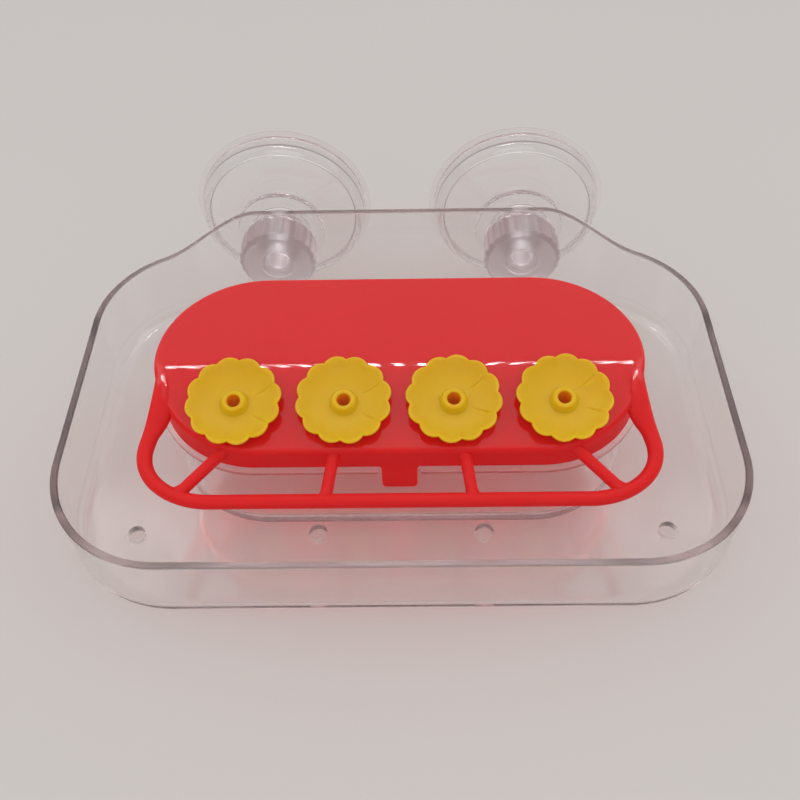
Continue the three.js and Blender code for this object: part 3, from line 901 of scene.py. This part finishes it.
def bend_top(piece, depth):
    """Cuts the top face of a piece across the crease and lays the cuts on the roof line, at a depth."""
    pick(piece)
    bpy.ops.object.mode_set(mode="EDIT")
    bpy.ops.mesh.select_mode(type="FACE")
    for k in range(CREASE_CUTS + 1):
        cut = CREASE_Y + CREASE_REACH * (1 - 2 * k / CREASE_CUTS)
        bpy.ops.mesh.select_all(action="DESELECT")
        mesh = bmesh.from_edit_mesh(piece.data)
        for face in mesh.faces:
            high = face.calc_center_median().z > TOP_FACES
            face.select_set(high and len(face.verts) > LARGE_FACE_CORNERS)
        bmesh.update_edit_mesh(piece.data)
        bpy.ops.mesh.bisect(plane_co=(0.0, cut, 0.0), plane_no=(0.0, 1.0, 0.0))
        for corner in bmesh.from_edit_mesh(piece.data).verts:
            if corner.select and abs(corner.co.y - cut) < WELD:
                corner.co.z = roof_height(cut) - depth
    bpy.ops.mesh.select_mode(type="VERT")
    weld(piece)


bend_top(lid, 0.0)
bend_top(hollow, LID_ROOF)
print("Lid faces after the crease:", len(lid.data.polygons))

# %% [markdown]
# ## The perch
# The perch is a round bar that leaves the lid at the sides, runs round the front and is held by four
# spokes. Its path is drawn from above, as two cubic curves and a straight front, and is then lifted onto
# a slope just under the plane of the ramp. One half is drawn and mirrored.

# %% Draw the perch's path
PERCH_DROP = 2.4 * mm
ARM_LIFT = 1.2 * mm
ARM_LIFT_Y = -15.5 * mm
ARM_LIFT_BEHIND = 14.0 * mm
ARM_LIFT_AHEAD = 10.0 * mm
PERCH_FRONT_Y = -42.7 * mm
ARM_PULLS = [(60.9, -4.0), (58.9, -13.0), (60.5, -20.0), (62.5, -28.5)]
ARM_CURVE = [(x * mm, y * mm) for x, y in ARM_PULLS]
PERCH_CORNER_X = 46.0 * mm
CORNER_PULL = 9.0 * mm
ARM_STEPS = 36
CORNER_BAR_STEPS = 32
FRONT_BAR_STEPS = 24


def cubic(points, share):
    """A point on a cubic curve with four control points."""
    a, b, c, d = [Vector(p) for p in points]
    rest = 1 - share
    return a * rest**3 + b * 3 * rest**2 * share + c * 3 * rest * share**2 + d * share**3


def perch_plan():
    """Places of the right half of the bar seen from above, from the lid to the middle of the front."""
    arm = [cubic(ARM_CURVE, k / ARM_STEPS) for k in range(ARM_STEPS)]
    bend = Vector(ARM_CURVE[3])
    onward = bend + (bend - Vector(ARM_CURVE[2])).normalized() * CORNER_PULL
    corner = [bend, onward, (PERCH_CORNER_X + CORNER_PULL, PERCH_FRONT_Y), (PERCH_CORNER_X, PERCH_FRONT_Y)]
    round_corner = [cubic(corner, k / CORNER_BAR_STEPS) for k in range(CORNER_BAR_STEPS)]
    shares = [k / FRONT_BAR_STEPS for k in range(FRONT_BAR_STEPS + 1)]
    return arm + round_corner + [Vector((PERCH_CORNER_X * (1 - share), PERCH_FRONT_Y)) for share in shares]


def bell(value, middle, reach):
    """A soft hump that is 1 in the middle and 0 at a reach to either side."""
    away = (value - middle) / reach
    return max(0.0, 1 - away * away) ** 2


def perch_centre(place):
    """Lifts a place in the plan onto the perch's slope, a little higher where the arm leaves the lid."""
    reach = ARM_LIFT_BEHIND if place.y > ARM_LIFT_Y else ARM_LIFT_AHEAD
    drop = PERCH_DROP - ARM_LIFT * bell(place.y, ARM_LIFT_Y, reach)
    return Vector((place.x, place.y, ramp_plane(min(place.y, CREASE_Y)) - drop))


half = perch_plan()
plan = half + [Vector((-p.x, p.y)) for p in reversed(half[:-1])]
print("Places along the perch:", len(plan))

# %% [markdown]
# A curve with a bevel is the usual way to make a bar. Here the bar is wide where it grows out of the
# lid, on its inner side only, so rings along the path give it an uneven section.

# %% Sweep the bar
PERCH_BAR = 1.8 * mm
BAR_FACETS = 24
ARM_EXTRA = 0.3 * mm
ARM_LENGTH = 20.0 * mm
WEB_REACH = 1.7 * mm
WEB_Y = -20.4 * mm
WEB_RISE = 11.0 * mm
WEB_FALL = 6.5 * mm


def half_widths(place):
    """Half the bar's width towards the lid and away from it, with the web where the arm leaves the lid."""
    arm = ARM_EXTRA * bell(place.y, WEB_Y, ARM_LENGTH)
    web = WEB_REACH * bell(place.y, WEB_Y, WEB_RISE if place.y > WEB_Y else WEB_FALL)
    return PERCH_BAR + arm + web, PERCH_BAR + arm


def oval_ring(centre, across, wide, narrow, tall):
    """A ring round a centre, wide to one side and narrow to the other. Its top points off the ramp."""
    ring = []
    for k in range(BAR_FACETS):
        angle = 2 * pi * k / BAR_FACETS
        reach = cos(angle) * (wide if cos(angle) > 0 else narrow)
        ring.append(centre + across * reach + RAMP_NORMAL * (tall * sin(angle)))
    return ring


def bar_ring(index):
    """One section of the bar, square to its path and to the ramp."""
    before, after = plan[max(index - 1, 0)], plan[min(index + 1, len(plan) - 1)]
    along = (after - before).normalized()
    inward = RAMP_NORMAL.cross(Vector((along.x, along.y, along.y * tan(RAMP_SLOPE)))).normalized()
    centre = perch_centre(plan[index])
    if inward.dot(Vector((0.0, FEEDER_Y, 0.0)) - Vector((centre.x, centre.y, 0.0))) < 0:
        inward = -inward
    return oval_ring(centre, inward, *half_widths(plan[index]), PERCH_BAR)


perch = skin_rings("perch_bar", [bar_ring(i) for i in range(len(plan))])
print("Perch width, mm:", round(perch.dimensions.x / mm, 1))

# %% [markdown]
# The four spokes are straight rods: two that run nearly square to the bar and two that lean out to its
# corners. A cylinder would do, but moulded rods flare at both ends, so each is skinned from rings. Both
# ends are buried, and the Boolean modifier makes one skin of them.

# %% Set the spokes
SPOKE_RADIUS = 1.5 * mm
SPOKE_FLARE = 0.7 * mm
FLARE_LENGTH = 1.6 * mm
SPOKE_BURIED = 0.6 * PERCH_BAR
SPOKE_STEPS = 20
STRAIGHT_SPOKE = ((15.9 * mm, LID_FRONT + 2.2 * mm), (17.9 * mm, PERCH_FRONT_Y))
DIAGONAL_SPOKE = ((42.0 * mm, -28.6 * mm), (54.0 * mm, PERCH_FRONT_Y + 1.6 * mm))


def spoke(root, tip, side):
    """A straight rod that flares where it meets the lid and the bar."""
    start = perch_centre(Vector((side * root[0], root[1])))
    end = perch_centre(Vector((side * tip[0], tip[1])))
    along = (end - start).normalized()
    across = along.cross(RAMP_NORMAL).normalized()
    length = (end - start).length
    rings = []
    for k in range(SPOKE_STEPS + 1):
        travel = length * k / SPOKE_STEPS
        nearest = max(min(travel, length - travel) - SPOKE_BURIED, 0.0)
        radius = SPOKE_RADIUS + SPOKE_FLARE * max(0.0, 1 - nearest / FLARE_LENGTH) ** 2
        rings.append(oval_ring(start + along * travel, across, radius, radius, SPOKE_RADIUS))
    return skin_rings("spoke", rings)


for side in (-1, 1):
    for ends in (STRAIGHT_SPOKE, DIAGONAL_SPOKE):
        combine(perch, spoke(*ends, side), "UNION")
print("Perch with spokes:", len(perch.data.polygons), "faces")

# %% [markdown]
# A finger tab hangs from the middle of the skirt. Its front outline is a rounded tongue with a fillet
# on each side where it grows out of the skirt, so the outline is drawn as a ring and extruded back.

# %% Hang the finger tab
TAB_HALF = 4.5 * mm
TAB_BOTTOM = 21.8 * mm
TAB_TOP = 30.9 * mm
TAB_ROUND = 1.3 * mm
TAB_FILLET = 0.4 * mm
TAB_FRONT = LID_FRONT - 0.1 * mm
TAB_BACK = LID_FRONT + 0.95 * mm
TAB_EDGE = 0.35 * mm
TAB_EDGE_STEPS = ((0.3, 0.3), (1.0, 0.0))
TAB_BLEND = SKIRT_BOTTOM - 2.0 * mm
TAB_OVERLAP = 0.15 * mm
SKIRT_FACE = LID_FRONT + SKIRT_SET_BACK + TAB_OVERLAP


def tab_outline(inset):
    """The right half of the tongue from the bottom up, then the left half down again."""
    right_half = []
    for turn in quarter(EDGE_TURNS):
        x = TAB_HALF - TAB_ROUND + (TAB_ROUND - inset) * sin(turn)
        right_half.append((x, TAB_BOTTOM + TAB_ROUND - (TAB_ROUND - inset) * cos(turn)))
    fillet_base = SKIRT_BOTTOM + SKIRT_ROUND - TAB_FILLET
    for turn in quarter(EDGE_TURNS):
        x = TAB_HALF + TAB_FILLET - (TAB_FILLET + inset) * cos(turn)
        right_half.append((x, fillet_base + (TAB_FILLET + inset) * sin(turn) - 2 * inset))
    right_half.append((TAB_HALF + TAB_FILLET, TAB_TOP))
    return right_half + [(-x, z) for x, z in reversed(right_half)]


def tab_ring(inset, y):
    """The outline at a depth. Its top is drawn back, so that the front runs flush into the skirt."""
    ring = []
    for x, z in tab_outline(inset):
        share = min(max((z - TAB_BLEND) / (TAB_TOP - TAB_BLEND), 0.0), 1.0)
        ring.append(Vector((x, max(y, y + (SKIRT_FACE - y) * share), z)))
    return ring


tab_rings = [tab_ring(0.0, TAB_BACK), tab_ring(0.0, TAB_FRONT + TAB_EDGE)]
tab_rings += [tab_ring(TAB_EDGE * inset, TAB_FRONT + TAB_EDGE * back) for inset, back in TAB_EDGE_STEPS]
tab = skin_rings("finger_tab", tab_rings)
print("Tab, mm:", [round(v / mm, 1) for v in tab.dimensions])

# %% [markdown]
# The lid, the perch and the tab are one moulding, so they are joined into one skin. The hollow is cut
# out last, because it also trims what the arms and the tab leave inside, and the holes for the flowers
# are drilled square to the ramp. The top of the lid is marked as polish.

# %% Join the perch and the tab to the lid
FLOWER_PITCH = 27.25 * mm
FLOWER_COUNT = 4
FLOWER_PLACES = [(i - (FLOWER_COUNT - 1) / 2) * FLOWER_PITCH for i in range(FLOWER_COUNT)]
FLOWER_Y = -19.6 * mm
FLOWER_HOLE_RADIUS = 4.1 * mm
FLOWER_DRILL_LENGTH = 9.0 * mm
SLIT = 0.01 * mm
SLIT_SIDES = 4
POLISH_INSET = 0.4 * mm
POLISH_DEPTH = 0.6 * mm
POLISH_TILT = 0.9


def close_slits(piece):
    """Merges what the cuts left doubled and fills the hair-thin triangles that they left open."""
    weld(piece, SLIT)
    bpy.ops.object.mode_set(mode="EDIT")
    bpy.ops.mesh.select_all(action="SELECT")
    bpy.ops.mesh.fill_holes(sides=SLIT_SIDES)
    weld(piece)


def lid_polish(centre, normal):
    """The top of the lid is polished, the perch and the skirt are satin."""
    x, y, z = centre
    past = hypot(max(abs(x) - LID_HALF_STRAIGHT, 0.0), y - FEEDER_Y) - LID_RADIUS
    near_roof = past < -POLISH_INSET and abs(z - roof_height(y)) < POLISH_DEPTH
    return 1.0 if near_roof and normal.z > POLISH_TILT else 0.0


combine(lid, perch, "UNION")
combine(lid, tab, "UNION")
combine(lid, hollow, "DIFFERENCE")
for x in FLOWER_PLACES:
    seat = (x, FLOWER_Y, roof_height(FLOWER_Y))
    drill(lid, seat, FLOWER_HOLE_RADIUS, FLOWER_DRILL_LENGTH, RAMP_NORMAL)
close_slits(lid)
mark_faces(lid, "polish", lid_polish)
dress(lid, red_plastic, "lid", "red_lid", "lid_with_perch")

# %% [markdown]
# ## The flowers
# Each feeding port is a shallow dish with twelve petals, a tapered tube in the middle with the feeding
# hole, and a stem that plugs into the lid. A spin would give a round dish. Here the section is carried
# round in rings, and the outer rings are drawn in between the petals. Two petals are set off by a fine
# fold on each side.

# %% Shape one flower
PETALS = 12
PETAL_STEPS = 14
FLOWER_RADIUS = 12.0 * mm
PETAL_NOTCH = 1.0 * mm
NOTCH_ROOT = 9.4 * mm
FOLDS = (radians(-30), radians(30))
FOLD_DEPTH = 0.32 * mm
FOLD_WIDTH = radians(3.2)
FOLD_ROOT = 4.6 * mm
FOLD_FADE = 3.0 * mm
FEEDING_HOLE = 1.65 * mm
HOLE_GLOW_RADIUS = 1.01 * FEEDING_HOLE


def flower_profile():
    """Pairs of radius and height from the foot of the hole, round outside, and back down the hole."""
    hole, stem, foot = FEEDING_HOLE / mm, 3.8, -6.0
    plug = [(hole, foot), (stem - 0.5, foot), (stem, foot + 0.5), (stem, 0.0), (stem + 0.3, 0.3)]
    underside = [(5.5, 0.3), (7.0, 0.45), (8.6, 0.9), (10.2, 1.65), (11.5, 2.4)]
    rim = [(11.9, 2.7), (12.0, 3.0), (11.92, 3.28), (11.7, 3.42), (11.35, 3.34)]
    dish = [(10.7, 2.95), (9.9, 2.45), (9.0, 1.98), (7.9, 1.56), (6.6, 1.26), (5.2, 1.12), (4.0, 1.08)]
    tube = [(3.6, 1.12), (3.42, 1.3), (3.2, 1.75), (2.95, 2.4), (2.8, 2.75), (2.62, 2.95)]
    mouth = [(2.35, 3.02), (2.0, 3.0), (1.75, 2.88), (hole, 2.65), (hole, foot)]
    return [(r * mm, z * mm) for r, z in plug + underside + rim + dish + tube + mouth]


def flower_point(station, radius, height, upper):
    """A point of the flower, drawn in between the petals and lowered in the folds of the upper side."""
    angle = 2 * pi * station / (PETALS * PETAL_STEPS)
    across = 2 * ((station % PETAL_STEPS) / PETAL_STEPS) - 1
    share = max(0.0, (radius - NOTCH_ROOT) / (FLOWER_RADIUS - NOTCH_ROOT))
    if upper and radius > FOLD_ROOT:
        fade = min((radius - FOLD_ROOT) / FOLD_FADE, 1.0)
        for fold in FOLDS:
            off = abs((angle - fold + pi) % (2 * pi) - pi) / FOLD_WIDTH
            height -= FOLD_DEPTH * fade * max(0.0, 1 - off)
    radius -= PETAL_NOTCH * across * across * share
    return Vector((radius * cos(angle), radius * sin(angle), height))


def flower_hole_glow_mask(centre, normal):
    """The wall of the feeding hole, where a warm glow is painted."""
    return 1.0 if hypot(centre.x, centre.y) < HOLE_GLOW_RADIUS else 0.0


profile = flower_profile()
crest = max(range(len(profile)), key=lambda i: profile[i][0])
stations = range(PETALS * PETAL_STEPS)
flower_rings = [[flower_point(s, r, z, i > crest) for s in stations] for i, (r, z) in enumerate(profile)]
flower_pattern = skin_rings("flower_pattern", flower_rings, ends="welded")
# The wall of the feeding hole is marked for its painted warm glow.
mark_faces(flower_pattern, "painted_hole_glow", flower_hole_glow_mask)
print("Flower pattern:", len(flower_pattern.data.polygons), "faces")

# %% [markdown]
# The four flowers are alike, so the pattern is copied into the four holes, each copy with its own mesh.
# A linked copy would be lighter, but each flower rides its own body. Somebody pushed them in by hand, so
# each is turned a little.

# %% Set the four flowers
FLOWER_SPINS = [radians(-4.5), radians(-3.0), radians(8.5), radians(8.4)]


def copy_to(pattern, name, matrix):
    """Copies a pattern with its own mesh, and puts the place into the mesh."""
    pick(pattern)
    bpy.ops.object.duplicate()
    piece = bpy.context.object
    piece.name = piece.data.name = name
    piece.matrix_world = matrix
    bpy.ops.object.transform_apply(location=True, rotation=True, scale=True)
    return piece


for i, x in enumerate(FLOWER_PLACES):
    seat = Matrix.Translation((x, FLOWER_Y, roof_height(FLOWER_Y))) @ Matrix.Rotation(RAMP_SLOPE, 4, "X")
    spin = Matrix.Rotation(FLOWER_SPINS[i], 4, "Z")
    flower = copy_to(flower_pattern, f"yellow_flower_{i + 1}", seat @ spin)
    dress(flower, yellow_plastic, f"flower_{i + 1}", "yellow_flower", f"flower_{i + 1}")
bpy.data.objects.remove(flower_pattern, do_unlink=True)

# %% [markdown]
# ## The suction cups
# A suction cup is a body of revolution in soft clear vinyl: a neck against the tray, a collar, and a
# wide thin cone with a thick bead near its lip. A lathe is the natural way: one profile is extruded
# point by point and spun round the axis, which points at the window pane.

# %% Turn a suction cup
CUP_SPIN_STEPS = 120
CUP_LENGTH = 18.0
CUP_SEAL_RADIUS = 24.4
CUP_HOLLOW = 8.2
DISH_STEPS = 16


def turned(name, profile, steps):
    """Spins a profile of radius and travel round the Y axis. The profile starts and ends on the axis."""
    deselect_all()
    bpy.ops.mesh.primitive_plane_add(size=2 * mm)
    piece = bpy.context.object
    piece.name = piece.data.name = name
    bpy.ops.object.mode_set(mode="EDIT")
    bpy.ops.mesh.merge(type="CENTER")
    mesh = bmesh.from_edit_mesh(piece.data)
    mesh.verts.ensure_lookup_table()
    mesh.verts[0].co = Vector((profile[0][0], profile[0][1], 0.0))
    for (radius, travel), (last_radius, last_travel) in zip(profile[1:], profile):
        bpy.ops.mesh.extrude_vertices_move(
            TRANSFORM_OT_translate={"value": (radius - last_radius, travel - last_travel, 0.0)})
    bpy.ops.mesh.select_all(action="SELECT")
    bpy.ops.mesh.spin(steps=steps, angle=2 * pi, center=(0.0, 0.0, 0.0), axis=(0.0, 1.0, 0.0))
    weld(piece)
    return piece


def suction_cup_profile():
    """Radius and distance from the tray's back face, from the stud's pocket round to the dish."""
    pocket = [(0.0, 6.2), (6.6, 6.2), (6.8, 6.0), (6.8, 3.5)]
    pocket += [(6.6, 3.3), (4.0, 3.3), (3.8, 3.1), (3.8, 0.5)]
    neck = [(4.0, 0.3), (9.2, 0.3), (9.5, 0.6), (9.5, 3.6), (9.7, 4.15), (10.2, 4.4)]
    collar = [(12.8, 4.4), (13.2, 4.55), (13.4, 4.95), (13.4, 5.8), (13.6, 6.4), (14.2, 6.85)]
    cone = [(16.5, 8.15), (20.0, 10.1), (22.3, 11.4), (22.8, 11.72), (23.15, 11.7), (23.4, 11.3)]
    bead = [(23.7, 11.1), (24.4, 11.3), (25.0, 11.9), (25.4, 12.7), (25.56, 13.3), (25.66, 13.9)]
    lip = [(25.72, 14.8), (25.8, 16.2), (26.0, 17.1), (26.5, 17.55), (27.3, 17.66), (27.5, 17.78)]
    seal = [(27.45, 17.93), (27.2, CUP_LENGTH), (24.9, CUP_LENGTH)]
    dish = []
    for turn in quarter(DISH_STEPS):
        dish.append((CUP_SEAL_RADIUS * cos(turn), CUP_LENGTH - CUP_HOLLOW * sin(turn)))
    dish[-1] = (0.0, CUP_LENGTH - CUP_HOLLOW)
    return [(r * mm, y * mm) for r, y in pocket + neck + collar + cone + bead + lip + seal + dish]


cup_pattern = turned("suction_cup_pattern", suction_cup_profile(), CUP_SPIN_STEPS)
print("Cup pattern:", len(cup_pattern.data.polygons), "faces")

# %% [markdown]
# On a clear cup only a few lines are seen: the groove inside the bead, the outer side of the bead and
# the edge of the collar. They could be left to refraction alone, but thin vinyl hardly bends the light,
# so the faces along them are marked as edges, which paints them dark: painted shade in place of the
# lines that refraction draws. The bead is thick, and is marked as slight shade.

# %% Mark and hang the suction cups
BEAD_INNER = 23.2
BEAD_OUTER = 25.8
BEAD_END = 17.0
BEAD_MARK = 0.14


def suction_cup_dark_lines(centre, normal):
    """The painted dark lines of the cup, each a band of radius and travel. The groove is painted darkest
    at the sides.
    """
    radius, travel = hypot(centre.x, centre.z) / mm, centre.y / mm
    beside = abs(centre.x) / hypot(centre.x, centre.z)
    groove = ((22.75, 23.2), (11.6, 11.8), 0.2 + 0.7 * beside)
    bead_side = ((25.5, 25.7), (13.3, 13.9), 1.0)
    collar_edge = ((13.0, 13.5), (4.4, 4.8), 0.4)
    for (inner, outer), (first, last), value in (groove, bead_side, collar_edge):
        if inner < radius < outer and first < travel < last:
            return value
    return 0.0


def suction_cup_shade(centre, normal):
    """The bead is thick and looks a little deeper than the cone."""
    in_bead = BEAD_INNER < hypot(centre.x, centre.z) / mm < BEAD_OUTER
    return BEAD_MARK if in_bead and centre.y < BEAD_END * mm else 0.0


# The edge marks paint the cup's dark lines as shade.
mark_faces(cup_pattern, "edge", suction_cup_dark_lines)
mark_faces(cup_pattern, "shade", suction_cup_shade)
for name, place in CUP_PLACES.items():
    cup = copy_to(cup_pattern, f"vinyl_cup_{name}", Matrix.Translation(place))
    dress(cup, soft_clear, "tray", "clear_vinyl", f"suction_cup_{name}")
bpy.data.objects.remove(cup_pattern, do_unlink=True)

# %% [markdown]
# ## The studs and the nuts
# A stud is moulded into each cup and comes through the tray's back wall, and a knurled nut holds it.
# The thread could be a Screw modifier on a small profile. Here each ring of the stud is pushed out
# where the thread passes, so the thread and the core are one closed skin.

# %% Wind the thread
STUD_CORE = 3.0 * mm
STUD_END = -9.8 * mm
STUD_HEAD_FRONT = 3.6 * mm
THREAD_DEPTH = 0.5 * mm
THREAD_PITCH = 2.0 * mm
THREAD_CREST = 1.6
THREAD_FLANK = 5.0
THREAD_STOP = STUD_HEAD_FRONT - 1.0 * mm


def ring_about_axis(travel, radius_at, count):
    """A ring round the Y axis whose radius may change from place to place."""
    ring = []
    for k in range(count):
        angle = 2 * pi * k / count
        radius = radius_at(angle)
        ring.append(Vector((radius * cos(angle), travel, radius * sin(angle))))
    return ring


def thread_radius(travel):
    """Radius of the stud at a travel: a right-handed ridge that fades out at both ends of the thread."""
    from_end = max((travel - STUD_END) / THREAD_PITCH, 0.0)
    to_stop = max((THREAD_STOP - travel) / THREAD_PITCH, 0.0)
    fade = min(from_end, to_stop, 1.0)

    def radius_at(angle):
        phase = (travel / THREAD_PITCH + angle / (2 * pi)) % 1.0
        ridge = min(1.0, max(0.0, THREAD_CREST - abs(phase - 0.5) * THREAD_FLANK))
        return STUD_CORE + THREAD_DEPTH * ridge * fade
    return radius_at


turns = (STUD_HEAD_FRONT - STUD_END) / THREAD_PITCH
print("Turns of thread:", round(turns, 1))

# %% [markdown]
# The stud has a small chamfer at its tip and a flat head that sits in the cup's neck. The head could be a
# cylinder of its own, but as a few more rings it stays in the same skin.

# %% Skin the stud
STUD_TIP = 0.6 * mm
STUD_HEAD_LENGTH = 2.0 * mm
STUD_HEAD_RADIUS = 6.5 * mm
HEAD_EDGE = 0.3 * mm
HEAD_FILLET = 0.2 * mm
STUD_STATIONS = 48
RINGS_PER_TURN = 10


def plain(radius):
    """The same radius all round."""
    return lambda angle: radius


stud_rings = [ring_about_axis(STUD_END, plain(STUD_CORE - STUD_TIP), STUD_STATIONS)]
thread_rings = ceil(turns * RINGS_PER_TURN)
thread_length = STUD_HEAD_FRONT - STUD_END - HEAD_EDGE - HEAD_FILLET
for k in range(thread_rings + 1):
    travel = STUD_END + HEAD_EDGE + thread_length * k / thread_rings
    stud_rings.append(ring_about_axis(travel, thread_radius(travel), STUD_STATIONS))
head = [
    (STUD_CORE + HEAD_FILLET, 0.0),
    (STUD_HEAD_RADIUS - HEAD_EDGE, 0.0),
    (STUD_HEAD_RADIUS, HEAD_EDGE),
    (STUD_HEAD_RADIUS, STUD_HEAD_LENGTH - HEAD_EDGE),
    (STUD_HEAD_RADIUS - HEAD_EDGE, STUD_HEAD_LENGTH),
]
for radius, past in head:
    stud_rings.append(ring_about_axis(STUD_HEAD_FRONT + past, plain(radius), STUD_STATIONS))
stud_pattern = skin_rings("stud_pattern", stud_rings)
print("Stud pattern:", len(stud_pattern.data.polygons), "faces")

# %% [markdown]
# The nut is a ring with fine ridges for the fingers and a shallow recess round the stud's end. An array
# of ridges could be joined to a cylinder. It is lighter to let the radius of each ring swing in and out,
# with full ridges on the side and none on the faces.

# %% Knurl the nut
NUT_RADIUS = 11.6 * mm
NUT_FRONT = -11.3 * mm
NUT_LENGTH = 9.0 * mm
NUT_CHAMFER = 1.3 * mm
NUT_EDGE = 0.25 * mm
NUT_RIDGES = 24
RIDGE_DEPTH = 0.35 * mm
RIDGE_STATIONS = 8
NUT_BORE = 3.8 * mm
NUT_RECESS = 4.9 * mm
NUT_RECESS_DEPTH = 1.5 * mm


def knurled(radius, share):
    """A radius with round ridges, as deep as a share of the full ridge."""
    return lambda angle: radius - RIDGE_DEPTH * share * (0.5 - 0.5 * cos(NUT_RIDGES * angle))


def nut_profile():
    """Travel, radius and share of the ridges, from the bore over the front face and back to the bore."""
    back = NUT_FRONT + NUT_LENGTH
    floor = NUT_FRONT + NUT_RECESS_DEPTH
    return [
        (floor + NUT_EDGE, NUT_BORE, 0.0),
        (floor, NUT_BORE + NUT_EDGE, 0.0),
        (floor, NUT_RECESS - NUT_EDGE, 0.0),
        (floor - NUT_EDGE, NUT_RECESS, 0.0),
        (NUT_FRONT + NUT_EDGE, NUT_RECESS, 0.0),
        (NUT_FRONT, NUT_RECESS + NUT_EDGE, 0.0),
        (NUT_FRONT, NUT_RADIUS - NUT_CHAMFER - NUT_EDGE, 0.0),
        (NUT_FRONT + NUT_EDGE / 2, NUT_RADIUS - NUT_CHAMFER, 0.1),
        (NUT_FRONT + NUT_CHAMFER, NUT_RADIUS - NUT_EDGE, 0.8),
        (NUT_FRONT + NUT_CHAMFER + NUT_EDGE, NUT_RADIUS, 1.0),
        (back - 2 * NUT_EDGE, NUT_RADIUS, 1.0),
        (back - NUT_EDGE, NUT_RADIUS - NUT_EDGE, 0.9),
        (back, NUT_RADIUS - 3 * NUT_EDGE, 0.2),
        (back, NUT_BORE + NUT_EDGE, 0.0),
        (back - NUT_EDGE, NUT_BORE, 0.0),
        (floor + NUT_EDGE, NUT_BORE, 0.0),
    ]


print("Nut ridges:", NUT_RIDGES, "profile:", len(nut_profile()), "steps")

# %% [markdown]
# The chamfer round the front and the wall of the recess are the lines that are seen on the hazy nut. The
# outline alone would leave it flat, so those faces are marked as edges, and so painted darker: painted
# shade in the recess and a painted dark line round the chamfer.

# %% Skin the nut
# How strongly the chamfer's dark line and the recess's shade are painted.
CHAMFER_DARK_LINE = 0.7
RECESS_SHADE = 0.45


def nut_dark_lines(centre, normal):
    """The chamfer round the front face and the wall of the recess are edges, painted darker as shade."""
    radius = hypot(centre.x, centre.z)
    chamfer = radius > NUT_RADIUS - NUT_CHAMFER and centre.y < NUT_FRONT + NUT_CHAMFER
    recess = radius < NUT_RECESS and centre.y < NUT_FRONT + NUT_RECESS_DEPTH + WELD
    if chamfer:
        return CHAMFER_DARK_LINE
    return RECESS_SHADE if recess else 0.0


nut_stations = NUT_RIDGES * RIDGE_STATIONS
nut_rings = [ring_about_axis(travel, knurled(radius, share), nut_stations)
             for travel, radius, share in nut_profile()]
nut_pattern = skin_rings("nut_pattern", nut_rings, ends="welded")
mark_faces(nut_pattern, "edge", nut_dark_lines)
print("Nut pattern:", len(nut_pattern.data.polygons), "faces")

# %% [markdown]
# Both patterns are copied onto the two axes of the cups. A stud stays with the tray, and a nut turns on
# its own body.

# %% Fit the studs and the nuts
for name, place in CUP_PLACES.items():
    axis = Matrix.Translation(place)
    stud = copy_to(stud_pattern, f"clear_stud_{name}", axis)
    dress(stud, hazy_clear, "tray", "clear_hardware", f"stud_{name}")
    nut = copy_to(nut_pattern, f"clear_nut_{name}", axis)
    dress(nut, hazy_clear, f"nut_{name}", "clear_hardware", f"nut_{name}")
for pattern in (stud_pattern, nut_pattern):
    bpy.data.objects.remove(pattern, do_unlink=True)
